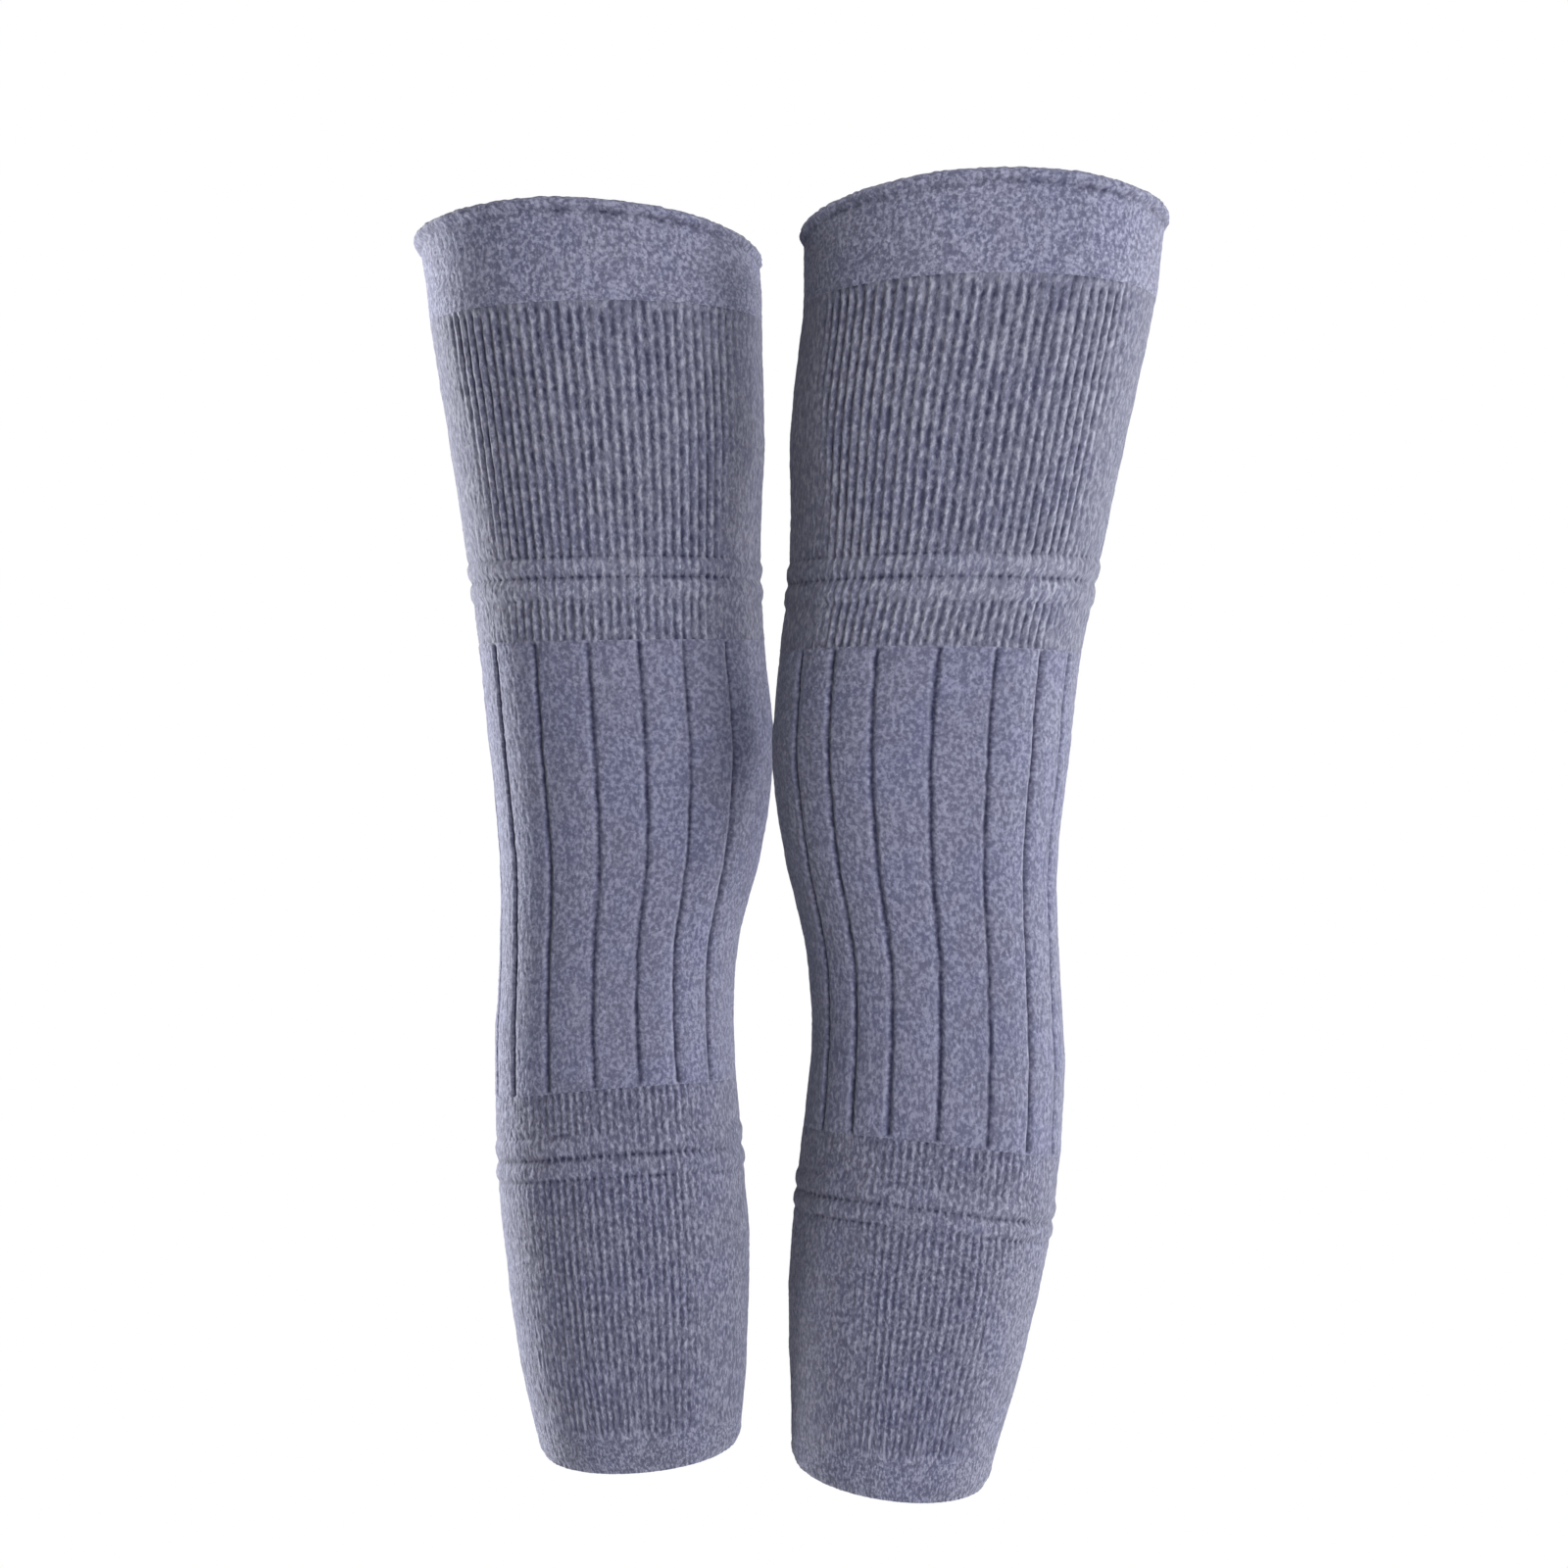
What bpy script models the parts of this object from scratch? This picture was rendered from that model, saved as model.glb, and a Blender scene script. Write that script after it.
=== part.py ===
"""Pair of knee warmers, built as the two knitted tubes that they are made as.

Lengths are in metres and angles in radians. +Z is up and the pair faces -Y. The origin lies
midway between the two top welts, at half their height. The right one of the pair stands at
-X and a little behind, the left one at +X and a little in front. Each warmer is a hollow
wall, open at its top and at its hem, in five pieces from the top down: top welt, upper rib,
knee panel, lower rib and hem welt.
"""
import math
from collections import namedtuple

import bmesh
import bpy

COLLECTION_NAME = "knee_warmers"

# Cloth
WALL = 0.0026             # thickness of the knitted wall over the ribs' crests
WELT_WALL = 0.0032        # the top welt is turned over, so it is thicker
SEAM_GAP = 0.0003         # clearance between neighbouring pieces
SQUARENESS = 2.12         # power of the section's outline, where 2 is an ellipse

# Stance of the pair
TOP_SPREAD = 0.0763       # from the origin out to the middle of each top welt
STAGGER = 0.037           # how far the left one stands forward, and the right one back

# Ribs, on the front of the upper and lower rib only
RIB_COUNT = 33
RIB_HALF_ARC = math.radians(60)
UPPER_RIB_DEPTH = 0.0010
LOWER_RIB_DEPTH = 0.0008

# Sunk lines down the knee panel
LINE_COUNT = 7
LINE_PITCH = math.radians(21.5)
LINE_HALF_WIDTH = 0.0009
LINE_DEPTH = 0.0010
LINE_FILL = 3             # extra wall points between two lines

# Rolled rim and turned hem
RIM_LIFT = 0.0009         # how far the rim's crown stands above its edge
HEM_DROP = 0.0006         # how far the hem's fold hangs below its edge

# Fineness
PLAIN_HALF_STEPS = 10     # wall steps from the back to the ribbed front, on each side
PANEL_HALF_STEPS = 13     # wall steps from the back to the first sunk line, on each side
WELT_STEPS = 56           # wall steps round a plain welt
LINING_STEPS = 40         # steps round the plain inside of every piece
RIB_FRONT_STEPS = 3       # wall steps down the long rib
PANEL_ROWS = 7            # wall steps down the knee panel

# The cut: one row for each course of the tube, from the top edge down
Course = namedtuple("Course", "name along half_width half_depth")
COURSES = (
    Course("top_edge", 0.000, 0.0674, 0.0702),
    Course("under_rim", 0.009, 0.0667, 0.0696),
    Course("welt_end", 0.031, 0.0655, 0.0682),
    Course("rib_middle", 0.076, 0.0621, 0.0645),
    Course("rib_end", 0.122, 0.0576, 0.0606),
    Course("panel_top", 0.156, 0.0556, 0.0588),
    Course("knee", 0.200, 0.0545, 0.0582),
    Course("knee_low", 0.241, 0.0505, 0.0540),
    Course("below_knee", 0.276, 0.0468, 0.0500),
    Course("shin", 0.307, 0.0466, 0.0512),
    Course("panel_end", 0.335, 0.0474, 0.0528),
    Course("ridges_end", 0.369, 0.0477, 0.0545),
    Course("calf", 0.401, 0.0467, 0.0540),
    Course("calf_low", 0.433, 0.0436, 0.0505),
    Course("rib_low_end", 0.459, 0.0396, 0.0452),
    Course("hem_edge", 0.472, 0.0376, 0.0424),
)

# Where each of those courses lies on each warmer: its height at the sides, how far it has
# moved in towards the other warmer and forward from the top welt, how far the wall stands
# out from the cut, how much higher the course runs on the outer side and at the front, and
# how many degrees its front is turned towards +X
Place = namedtuple("Place", "height inward forward spread outer_rise front_rise turn")
RIGHT_PLACES = (
    Place(0.0142, 0.0000, 0.0000, 0.0000, 0.0024, 0.0102, -12),
    Place(0.0055, 0.0018, 0.0005, 0.0000, 0.0018, 0.0092, -12),
    Place(-0.0152, 0.0036, 0.0020, 0.0000, -0.0010, 0.0020, -12),
    Place(-0.0620, 0.0078, 0.0060, 0.0000, -0.0012, 0.0010, -12),
    Place(-0.1085, 0.0107, 0.0105, 0.0000, -0.0008, 0.0005, -12),
    Place(-0.1410, 0.0139, 0.0130, 0.0004, -0.0008, 0.0002, -14),
    Place(-0.1840, 0.0181, 0.0155, 0.0011, -0.0010, 0.0018, -15),
    Place(-0.2255, 0.0175, 0.0172, 0.0005, -0.0019, 0.0030, -13),
    Place(-0.2600, 0.0130, 0.0175, 0.0000, -0.0022, 0.0042, -10.5),
    Place(-0.2900, 0.0110, 0.0145, 0.0001, -0.0029, 0.0053, -8.5),
    Place(-0.3168, 0.0114, 0.0124, 0.0001, -0.0040, 0.0057, -7.5),
    Place(-0.3525, 0.0134, 0.0094, 0.0008, -0.0030, 0.0062, -7.5),
    Place(-0.3850, 0.0158, 0.0083, 0.0014, -0.0022, 0.0050, -7.5),
    Place(-0.4180, 0.0178, 0.0098, 0.0018, -0.0022, 0.0030, -7.5),
    Place(-0.4465, 0.0200, 0.0126, 0.0016, -0.0024, 0.0000, -7.5),
    Place(-0.4577, 0.0212, 0.0144, 0.0014, -0.0026, -0.0018, -7.5),
)
LEFT_PLACES = (
    Place(0.0130, 0.0000, 0.0000, 0.0000, 0.0020, 0.0105, 4),
    Place(0.0045, 0.0006, 0.0005, 0.0000, 0.0018, 0.0095, 4),
    Place(-0.0165, 0.0020, 0.0020, 0.0000, 0.0011, 0.0040, 4),
    Place(-0.0620, 0.0094, 0.0065, 0.0007, 0.0014, 0.0008, 4),
    Place(-0.1110, 0.0151, 0.0115, 0.0000, 0.0005, 0.0010, 3),
    Place(-0.1462, 0.0204, 0.0145, 0.0000, -0.0004, 0.0022, 0.5),
    Place(-0.1850, 0.0246, 0.0175, 0.0000, -0.0018, 0.0015, 2),
    Place(-0.2240, 0.0242, 0.0202, -0.0003, -0.0032, 0.0016, 2.5),
    Place(-0.2600, 0.0198, 0.0220, 0.0000, -0.0038, 0.0028, 1),
    Place(-0.2935, 0.0178, 0.0210, 0.0002, -0.0046, 0.0046, -1),
    Place(-0.3262, 0.0202, 0.0209, 0.0000, -0.0056, 0.0060, 0.5),
    Place(-0.3578, 0.0240, 0.0214, -0.0007, -0.0060, 0.0056, 1),
    Place(-0.3840, 0.0277, 0.0228, -0.0014, -0.0054, 0.0050, 2),
    Place(-0.4100, 0.0311, 0.0268, -0.0018, -0.0046, 0.0032, 2),
    Place(-0.4330, 0.0343, 0.0316, -0.0019, -0.0040, -0.0005, 2),
    Place(-0.4445, 0.0359, 0.0344, -0.0018, -0.0040, -0.0026, 2),
)

# Each warmer's outer side is at -X or +X
Warmer = namedtuple("Warmer", "name side places")
WARMERS = (
    Warmer("right", -1, RIGHT_PLACES),
    Warmer("left", 1, LEFT_PLACES),
)

# A row of wall points: how far down the piece it lies, how far the wall swells out there,
# and the share of the full rib or line depth that it has
Row = namedtuple("Row", "down swell relief")

# The raised ridges beside the knee panel, measured away from the panel's edge
RIDGE_ROWS = (
    Row(0.0000, 0.0000, 0.8),
    Row(0.0140, 0.0000, 0.8),
    Row(0.0160, -0.0007, 0.4),
    Row(0.0204, 0.0006, 0.4),
    Row(0.0248, -0.0007, 0.4),
    Row(0.0288, 0.0006, 0.4),
    Row(0.0328, -0.0007, 0.4),
    Row(0.0350, 0.0000, 1.0),
)

# The rolled rim, measured down from the top edge
RIM_ROWS = (
    Row(0.0000, 0.0008, 0.0),
    Row(0.0018, 0.0019, 0.0),
    Row(0.0046, 0.0014, 0.0),
    Row(0.0085, 0.0000, 0.0),
    Row(0.0200, 0.0002, 0.0),
)

# The hem's fold, measured up from the hem's edge
HEM_ROWS = (
    Row(0.0000, -0.0010, 0.0),
    Row(0.0022, 0.0003, 0.0),
)

# Finish of each piece: base colour of its heathered yarn and its roughness
Finish = namedtuple("Finish", "colour roughness")
FINISHES = {
    "top_welt": Finish((0.215, 0.218, 0.310), 0.92),
    "upper_rib": Finish((0.150, 0.150, 0.216), 0.94),
    "knee_panel": Finish((0.180, 0.182, 0.262), 0.93),
    "lower_rib": Finish((0.146, 0.147, 0.214), 0.94),
    "hem_welt": Finish((0.170, 0.172, 0.246), 0.92),
}


def clear_scene():
    """Removes every object that the scene opens with."""
    for obj in list(bpy.data.objects):
        bpy.data.objects.remove(obj, do_unlink=True)


def make_collection(name):
    """Makes the collection that holds the object's pieces."""
    collection = bpy.data.collections.new(name)
    bpy.context.scene.collection.children.link(collection)
    return collection


def make_material(name, finish):
    """Makes a matt cloth material with one Principled shader."""
    material = bpy.data.materials.new(name)
    material.use_nodes = True
    shader = material.node_tree.nodes["Principled BSDF"]
    shader.inputs["Base Color"].default_value = (*finish.colour, 1.0)
    shader.inputs["Roughness"].default_value = finish.roughness
    shader.inputs["Metallic"].default_value = 0.0
    return material


def course_at(name):
    """Distance of a named course from the top edge, along the cloth."""
    return next(course.along for course in COURSES if course.name == name)


def slope_at(values, index):
    """Slope of a table's values against the cloth's length at one of its rows."""
    before = max(index - 1, 0)
    after = min(index + 1, len(values) - 1)
    return (values[after] - values[before]) / (COURSES[after].along - COURSES[before].along)


def smooth_value(values, along):
    """Reads one column of a table at a distance along the cloth, on a smooth cubic curve."""
    last = len(COURSES) - 2
    index = next((i for i in range(last) if along < COURSES[i + 1].along), last)
    span = COURSES[index + 1].along - COURSES[index].along
    t = (along - COURSES[index].along) / span
    start, end = values[index], values[index + 1]
    start_slope = slope_at(values, index) * span
    end_slope = slope_at(values, index + 1) * span
    return (
        start * (2 * t**3 - 3 * t**2 + 1)
        + start_slope * (t**3 - 2 * t**2 + t)
        + end * (3 * t**2 - 2 * t**3)
        + end_slope * (t**3 - t**2)
    )


def column(rows, field):
    """One named column of a table."""
    return [getattr(row, field) for row in rows]


def front_share(angle):
    """Goes from 1 at the front to 0 at both sides and at the back."""
    return 0.5 * math.cos(angle) + 0.25 * (1 + math.cos(2 * angle))


def ring_points(warmer, along, angles, offsets):
    """Points of one section of a warmer.

    Angles run from the back, past -X, the front and +X, before the cloth's turn. Each
    offset moves its point out from the cut's outline.
    """
    half_width = smooth_value(column(COURSES, "half_width"), along)
    half_depth = smooth_value(column(COURSES, "half_depth"), along)
    place = Place(*(smooth_value(column(warmer.places, field), along) for field in Place._fields))
    points = []
    for angle, offset in zip(angles, offsets):
        turned = angle + math.radians(place.turn)
        across, ahead = math.sin(turned), math.cos(turned)
        reach = (abs(across) ** SQUARENESS + abs(ahead) ** SQUARENESS) ** (-1 / SQUARENESS)
        outer_rise = place.outer_rise * warmer.side * across
        points.append((
            (half_width + place.spread + offset) * reach * across - warmer.side * place.inward,
            -(half_depth + place.spread + offset) * reach * ahead - place.forward,
            place.height + outer_rise + place.front_rise * front_share(turned),
        ))
    return points


def even_angles(steps):
    """Angles all round a section, from the back, evenly spaced."""
    return [-math.pi + 2 * math.pi * i / steps for i in range(steps)]


def spaced(start, end, steps):
    """Evenly spaced values from start up to, but not with, end."""
    return [start + (end - start) * i / steps for i in range(steps)]


def rib_profile():
    """Angles round a ribbed section, with 1 at each furrow and 0 elsewhere."""
    angles = spaced(-math.pi, -RIB_HALF_ARC, PLAIN_HALF_STEPS)
    relief = [0.0] * len(angles)
    for i in range(2 * RIB_COUNT + 1):
        angles.append(-RIB_HALF_ARC + i * RIB_HALF_ARC / RIB_COUNT)
        relief.append(1.0 if i % 2 == 0 else 0.0)
    back = spaced(RIB_HALF_ARC, math.pi, PLAIN_HALF_STEPS)[1:]
    return angles + back, relief + [0.0] * len(back)


def line_profile():
    """Angles round a knee panel's section, with 1 at the bottom of each sunk line."""
    knee = next(course for course in COURSES if course.name == "knee")
    half_line = LINE_HALF_WIDTH / knee.half_width
    centres = [(i - (LINE_COUNT - 1) / 2) * LINE_PITCH for i in range(LINE_COUNT)]
    angles = spaced(-math.pi, centres[0] - half_line, PANEL_HALF_STEPS)
    relief = [0.0] * len(angles)
    for centre in centres:
        angles += [centre - half_line, centre, centre + half_line]
        relief += [0.0, 1.0, 0.0]
        if centre != centres[-1]:
            fill = spaced(centre + half_line, centre + LINE_PITCH - half_line, LINE_FILL + 1)[1:]
            angles += fill
            relief += [0.0] * len(fill)
    back = spaced(centres[-1] + half_line, math.pi, PANEL_HALF_STEPS)[1:]
    return angles + back, relief + [0.0] * len(back)


def plain_profile():
    """Angles round a plain section, which has no relief."""
    return even_angles(WELT_STEPS), [0.0] * WELT_STEPS


def evenly_down(start, end, steps):
    """Plain rows between two distances along the cloth, without the first and the last."""
    return [Row(along, 0.0, 1.0) for along in spaced(start, end, steps)[1:]]


def upper_rib_rows(start, end):
    """Rows of the upper rib: the long rib first, then the ridges down to the knee panel."""
    ridges = [Row(end - row.down, row.swell, row.relief) for row in reversed(RIDGE_ROWS)]
    return [Row(start, 0.0, 1.0)] + evenly_down(start, ridges[0].down, RIB_FRONT_STEPS) + ridges


def lower_rib_rows(start, end):
    """Rows of the lower rib: the ridges below the knee panel first, then the long rib."""
    ridges = [Row(start + row.down, row.swell, row.relief) for row in RIDGE_ROWS]
    return ridges + evenly_down(ridges[-1].down, end, RIB_FRONT_STEPS) + [Row(end, 0.0, 1.0)]


def knee_panel_rows(start, end):
    """Rows of the knee panel, evenly spaced."""
    return [Row(start, 0.0, 1.0)] + evenly_down(start, end, PANEL_ROWS) + [Row(end, 0.0, 1.0)]


def top_welt_rows(start, end):
    """Rows of the top welt, with its rolled rim."""
    return [Row(start + row.down, row.swell, row.relief) for row in RIM_ROWS] + [Row(end, 0.0, 0.0)]


def hem_welt_rows(start, end):
    """Rows of the hem welt, with its turned edge."""
    fold = [Row(end - row.down, row.swell, row.relief) for row in reversed(HEM_ROWS)]
    return [Row(start, 0.0, 0.0)] + fold


# The pieces of one warmer, from the top down. Lift and drop round the free edges.
Piece = namedtuple("Piece", "name start end rows profile relief wall lining_rows lift drop")
PIECES = (
    Piece("top_welt", "top_edge", "welt_end", top_welt_rows, plain_profile,
          0.0, WELT_WALL, 3, RIM_LIFT, 0.0),
    Piece("upper_rib", "welt_end", "panel_top", upper_rib_rows, rib_profile,
          UPPER_RIB_DEPTH, WALL, 4, 0.0, 0.0),
    Piece("knee_panel", "panel_top", "panel_end", knee_panel_rows, line_profile,
          LINE_DEPTH, WALL, 6, 0.0, 0.0),
    Piece("lower_rib", "panel_end", "rib_low_end", lower_rib_rows, rib_profile,
          LOWER_RIB_DEPTH, WALL, 4, 0.0, 0.0),
    Piece("hem_welt", "rib_low_end", "hem_edge", hem_welt_rows, plain_profile,
          0.0, WALL, 1, 0.0, HEM_DROP),
)


def piece_span(piece):
    """First and last distance along the cloth of a piece, with its seams' clearance."""
    start = course_at(piece.start)
    end = course_at(piece.end)
    if piece.start != COURSES[0].name:
        start += SEAM_GAP / 2
    if piece.end != COURSES[-1].name:
        end -= SEAM_GAP / 2
    return start, end


def add_ring(bm, points):
    """Adds the vertices of one section."""
    return [bm.verts.new(point) for point in points]


def skin_like(bm, upper, lower):
    """Skins two rings that have the same number of points."""
    count = len(upper)
    for i in range(count):
        after = (i + 1) % count
        bm.faces.new((upper[i], upper[after], lower[after], lower[i]))


def skin_unlike(bm, many, many_angles, few, few_angles):
    """Skins two rings with different numbers of points, in step with their angles."""
    many_ends = many_angles[1:] + [math.pi]
    few_ends = few_angles[1:] + [math.pi]
    i = j = 0
    while i < len(many) or j < len(few):
        here, there = many[i % len(many)], few[j % len(few)]
        if j == len(few) or (i < len(many) and many_ends[i] <= few_ends[j]):
            bm.faces.new((here, many[(i + 1) % len(many)], there))
            i += 1
        else:
            bm.faces.new((here, few[(j + 1) % len(few)], there))
            j += 1


def shifted(points, rise):
    """The same points, moved up by rise."""
    return [(x, y, z + rise) for x, y, z in points]


def build_piece(warmer, piece, parent, material, collection):
    """Builds one piece as a closed wall between a relief outside and a plain inside."""
    start, end = piece_span(piece)
    angles, relief = piece.profile()
    lining_angles = even_angles(LINING_STEPS)
    bm = bmesh.new()
    outside = []
    for row in piece.rows(start, end):
        offsets = [row.swell - piece.relief * row.relief * share for share in relief]
        outside.append(add_ring(bm, ring_points(warmer, row.down, angles, offsets)))
    inside = []
    for along in spaced(start, end, piece.lining_rows) + [end]:
        offsets = [-piece.wall] * LINING_STEPS
        inside.append(add_ring(bm, ring_points(warmer, along, lining_angles, offsets)))
    for upper, lower in zip(outside, outside[1:]):
        skin_like(bm, upper, lower)
    for upper, lower in zip(inside, inside[1:]):
        skin_like(bm, upper, lower)
    half_wall = [-piece.wall / 2] * len(angles)
    edges = ((outside[0], inside[0], start, piece.lift), (outside[-1], inside[-1], end, -piece.drop))
    for outer_edge, inner_edge, along, rise in edges:
        if rise:
            crown = add_ring(bm, shifted(ring_points(warmer, along, angles, half_wall), rise))
            skin_like(bm, outer_edge, crown)
            outer_edge = crown
        skin_unlike(bm, outer_edge, angles, inner_edge, lining_angles)
    bmesh.ops.recalc_face_normals(bm, faces=bm.faces)
    mesh = bpy.data.meshes.new(f"{warmer.name}_{piece.name}")
    bm.to_mesh(mesh)
    bm.free()
    mesh.shade_smooth()
    mesh.materials.append(material)
    obj = bpy.data.objects.new(mesh.name, mesh)
    obj.parent = parent
    collection.objects.link(obj)


def build_warmer(warmer, materials, collection):
    """Builds one warmer's pieces, hung from an empty in the middle of its top welt."""
    top = bpy.data.objects.new(f"{warmer.name}_warmer", None)
    top.location = (warmer.side * TOP_SPREAD, -warmer.side * STAGGER, 0.0)
    collection.objects.link(top)
    for piece in PIECES:
        build_piece(warmer, piece, top, materials[piece.name], collection)


def main():
    """Builds the pair."""
    clear_scene()
    collection = make_collection(COLLECTION_NAME)
    materials = {name: make_material(f"{name}_knit", finish) for name, finish in FINISHES.items()}
    for warmer in WARMERS:
        build_warmer(warmer, materials, collection)


main()
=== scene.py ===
"""Studio scene of a pair of knee warmers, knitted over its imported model.

Lengths are in metres and angles in radians unless a name says degrees. +Z is up, the fronts face
-Y, the right warmer stands at -X and the left one at +X. Angles round a tube run from the back,
past -X, the front at 0 and +X, to the back again. Distances along the cloth start at its top edge.
"""
from __future__ import annotations

import logging
import math
from dataclasses import dataclass, field
from enum import Enum
from typing import Union

import bpy
import numpy as np
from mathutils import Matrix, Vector


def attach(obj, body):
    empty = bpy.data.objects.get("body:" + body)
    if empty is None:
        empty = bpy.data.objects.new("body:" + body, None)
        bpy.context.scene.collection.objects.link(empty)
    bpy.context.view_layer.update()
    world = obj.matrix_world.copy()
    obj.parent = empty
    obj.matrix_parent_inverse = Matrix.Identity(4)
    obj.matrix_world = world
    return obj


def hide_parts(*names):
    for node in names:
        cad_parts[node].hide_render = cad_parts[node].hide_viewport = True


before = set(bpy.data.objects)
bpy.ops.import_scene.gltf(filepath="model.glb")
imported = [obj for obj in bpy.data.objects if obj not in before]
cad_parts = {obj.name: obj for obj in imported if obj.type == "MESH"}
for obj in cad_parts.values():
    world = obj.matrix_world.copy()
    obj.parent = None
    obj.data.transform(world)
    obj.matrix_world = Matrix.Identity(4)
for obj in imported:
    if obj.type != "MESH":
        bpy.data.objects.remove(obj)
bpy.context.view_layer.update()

LOG = logging.getLogger("knee_warmers")
Colour = tuple[float, float, float]
Point = tuple[float, float, float]
Span = tuple[float, float]
Numbers = Union[float, np.ndarray]


class Side(Enum):
    """The two warmers, each with the sign of X on its outer side."""

    RIGHT = -1
    LEFT = 1


class Held(Enum):
    """How a sheet of cloth is kept in shape."""

    STRETCHED = "stretched"


@dataclass(frozen=True)
class Course:
    """One course of the cut: its distance along the cloth and the section's half sizes there."""

    along: float
    half_width: float
    half_depth: float


@dataclass(frozen=True)
class Place:
    """Where one course of the cut lies on one warmer.

    Height is at the sides. Inward and forward are moves from the top welt, spread widens the
    cut, the rises lift the outer side and the front, and turn is in degrees towards +X.
    """

    height: float
    inward: float
    forward: float
    spread: float
    outer_rise: float
    front_rise: float
    turn: float


COURSES = (
    Course(0.000, 0.0674, 0.0702),
    Course(0.009, 0.0667, 0.0696),
    Course(0.031, 0.0655, 0.0682),
    Course(0.076, 0.0621, 0.0645),
    Course(0.122, 0.0576, 0.0606),
    Course(0.156, 0.0556, 0.0588),
    Course(0.200, 0.0545, 0.0582),
    Course(0.241, 0.0505, 0.0540),
    Course(0.276, 0.0468, 0.0500),
    Course(0.307, 0.0466, 0.0512),
    Course(0.335, 0.0474, 0.0528),
    Course(0.369, 0.0477, 0.0545),
    Course(0.401, 0.0467, 0.0540),
    Course(0.433, 0.0436, 0.0505),
    Course(0.459, 0.0396, 0.0452),
    Course(0.472, 0.0376, 0.0424),
)

PLACES = {
    Side.RIGHT: (
        Place(0.0142, 0.0000, 0.0000, 0.0000, 0.0024, 0.0102, -12),
        Place(0.0055, 0.0018, 0.0005, 0.0000, 0.0018, 0.0092, -12),
        Place(-0.0152, 0.0036, 0.0020, 0.0000, -0.0010, 0.0020, -12),
        Place(-0.0620, 0.0078, 0.0060, 0.0000, -0.0012, 0.0010, -12),
        Place(-0.1085, 0.0107, 0.0105, 0.0000, -0.0008, 0.0005, -12),
        Place(-0.1410, 0.0139, 0.0130, 0.0004, -0.0008, 0.0002, -14),
        Place(-0.1840, 0.0181, 0.0155, 0.0011, -0.0010, 0.0018, -15),
        Place(-0.2255, 0.0175, 0.0172, 0.0005, -0.0019, 0.0030, -13),
        Place(-0.2600, 0.0130, 0.0175, 0.0000, -0.0022, 0.0042, -10.5),
        Place(-0.2900, 0.0110, 0.0145, 0.0001, -0.0029, 0.0053, -8.5),
        Place(-0.3168, 0.0114, 0.0124, 0.0001, -0.0040, 0.0057, -7.5),
        Place(-0.3525, 0.0134, 0.0094, 0.0008, -0.0030, 0.0062, -7.5),
        Place(-0.3850, 0.0158, 0.0083, 0.0014, -0.0022, 0.0050, -7.5),
        Place(-0.4180, 0.0178, 0.0098, 0.0018, -0.0022, 0.0030, -7.5),
        Place(-0.4465, 0.0200, 0.0126, 0.0016, -0.0024, 0.0000, -7.5),
        Place(-0.4577, 0.0212, 0.0144, 0.0014, -0.0026, -0.0018, -7.5),
    ),
    Side.LEFT: (
        Place(0.0130, 0.0000, 0.0000, 0.0000, 0.0020, 0.0105, 4),
        Place(0.0045, 0.0006, 0.0005, 0.0000, 0.0018, 0.0095, 4),
        Place(-0.0165, 0.0020, 0.0020, 0.0000, 0.0011, 0.0040, 4),
        Place(-0.0620, 0.0094, 0.0065, 0.0007, 0.0014, 0.0008, 4),
        Place(-0.1110, 0.0151, 0.0115, 0.0000, 0.0005, 0.0010, 3),
        Place(-0.1462, 0.0204, 0.0145, 0.0000, -0.0004, 0.0022, 0.5),
        Place(-0.1850, 0.0246, 0.0175, 0.0000, -0.0018, 0.0015, 2),
        Place(-0.2240, 0.0242, 0.0202, -0.0003, -0.0032, 0.0016, 2.5),
        Place(-0.2600, 0.0198, 0.0220, 0.0000, -0.0038, 0.0028, 1),
        Place(-0.2935, 0.0178, 0.0210, 0.0002, -0.0046, 0.0046, -1),
        Place(-0.3262, 0.0202, 0.0209, 0.0000, -0.0056, 0.0060, 0.5),
        Place(-0.3578, 0.0240, 0.0214, -0.0007, -0.0060, 0.0056, 1),
        Place(-0.3840, 0.0277, 0.0228, -0.0014, -0.0054, 0.0050, 2),
        Place(-0.4100, 0.0311, 0.0268, -0.0018, -0.0046, 0.0032, 2),
        Place(-0.4330, 0.0343, 0.0316, -0.0019, -0.0040, -0.0005, 2),
        Place(-0.4445, 0.0359, 0.0344, -0.0018, -0.0040, -0.0026, 2),
    ),
}


@dataclass(frozen=True)
class Crease:
    """A soft trough across a tube, with a low swell on each side of it.

    Angle is in degrees and positive towards the outer side, reach is half its length in degrees,
    and slant is how far it climbs over that reach. A negative depth makes it a ridge.
    """

    along: float
    angle: float
    reach: float
    slant: float
    width: float
    depth: float

    def sink(self, along: np.ndarray, outward: np.ndarray) -> np.ndarray:
        """How far the cloth is moved by this crease.

        Args:
            along: distances along the cloth.
            outward: angles in degrees, positive towards the outer side.

        Returns:
            The move of each point, negative into the tube.
        """
        across = (outward - self.angle + 180.0) % 360.0 - 180.0
        share = np.clip(1.0 - (across / self.reach) ** 2, 0.0, 1.0) ** 1.5
        away = (along - self.along + self.slant * across / self.reach) / self.width
        trough = np.exp(-(away**2))
        swell = np.exp(-((np.abs(away) - 2.0) ** 2))
        return self.depth * share * (0.45 * swell - trough)


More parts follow.
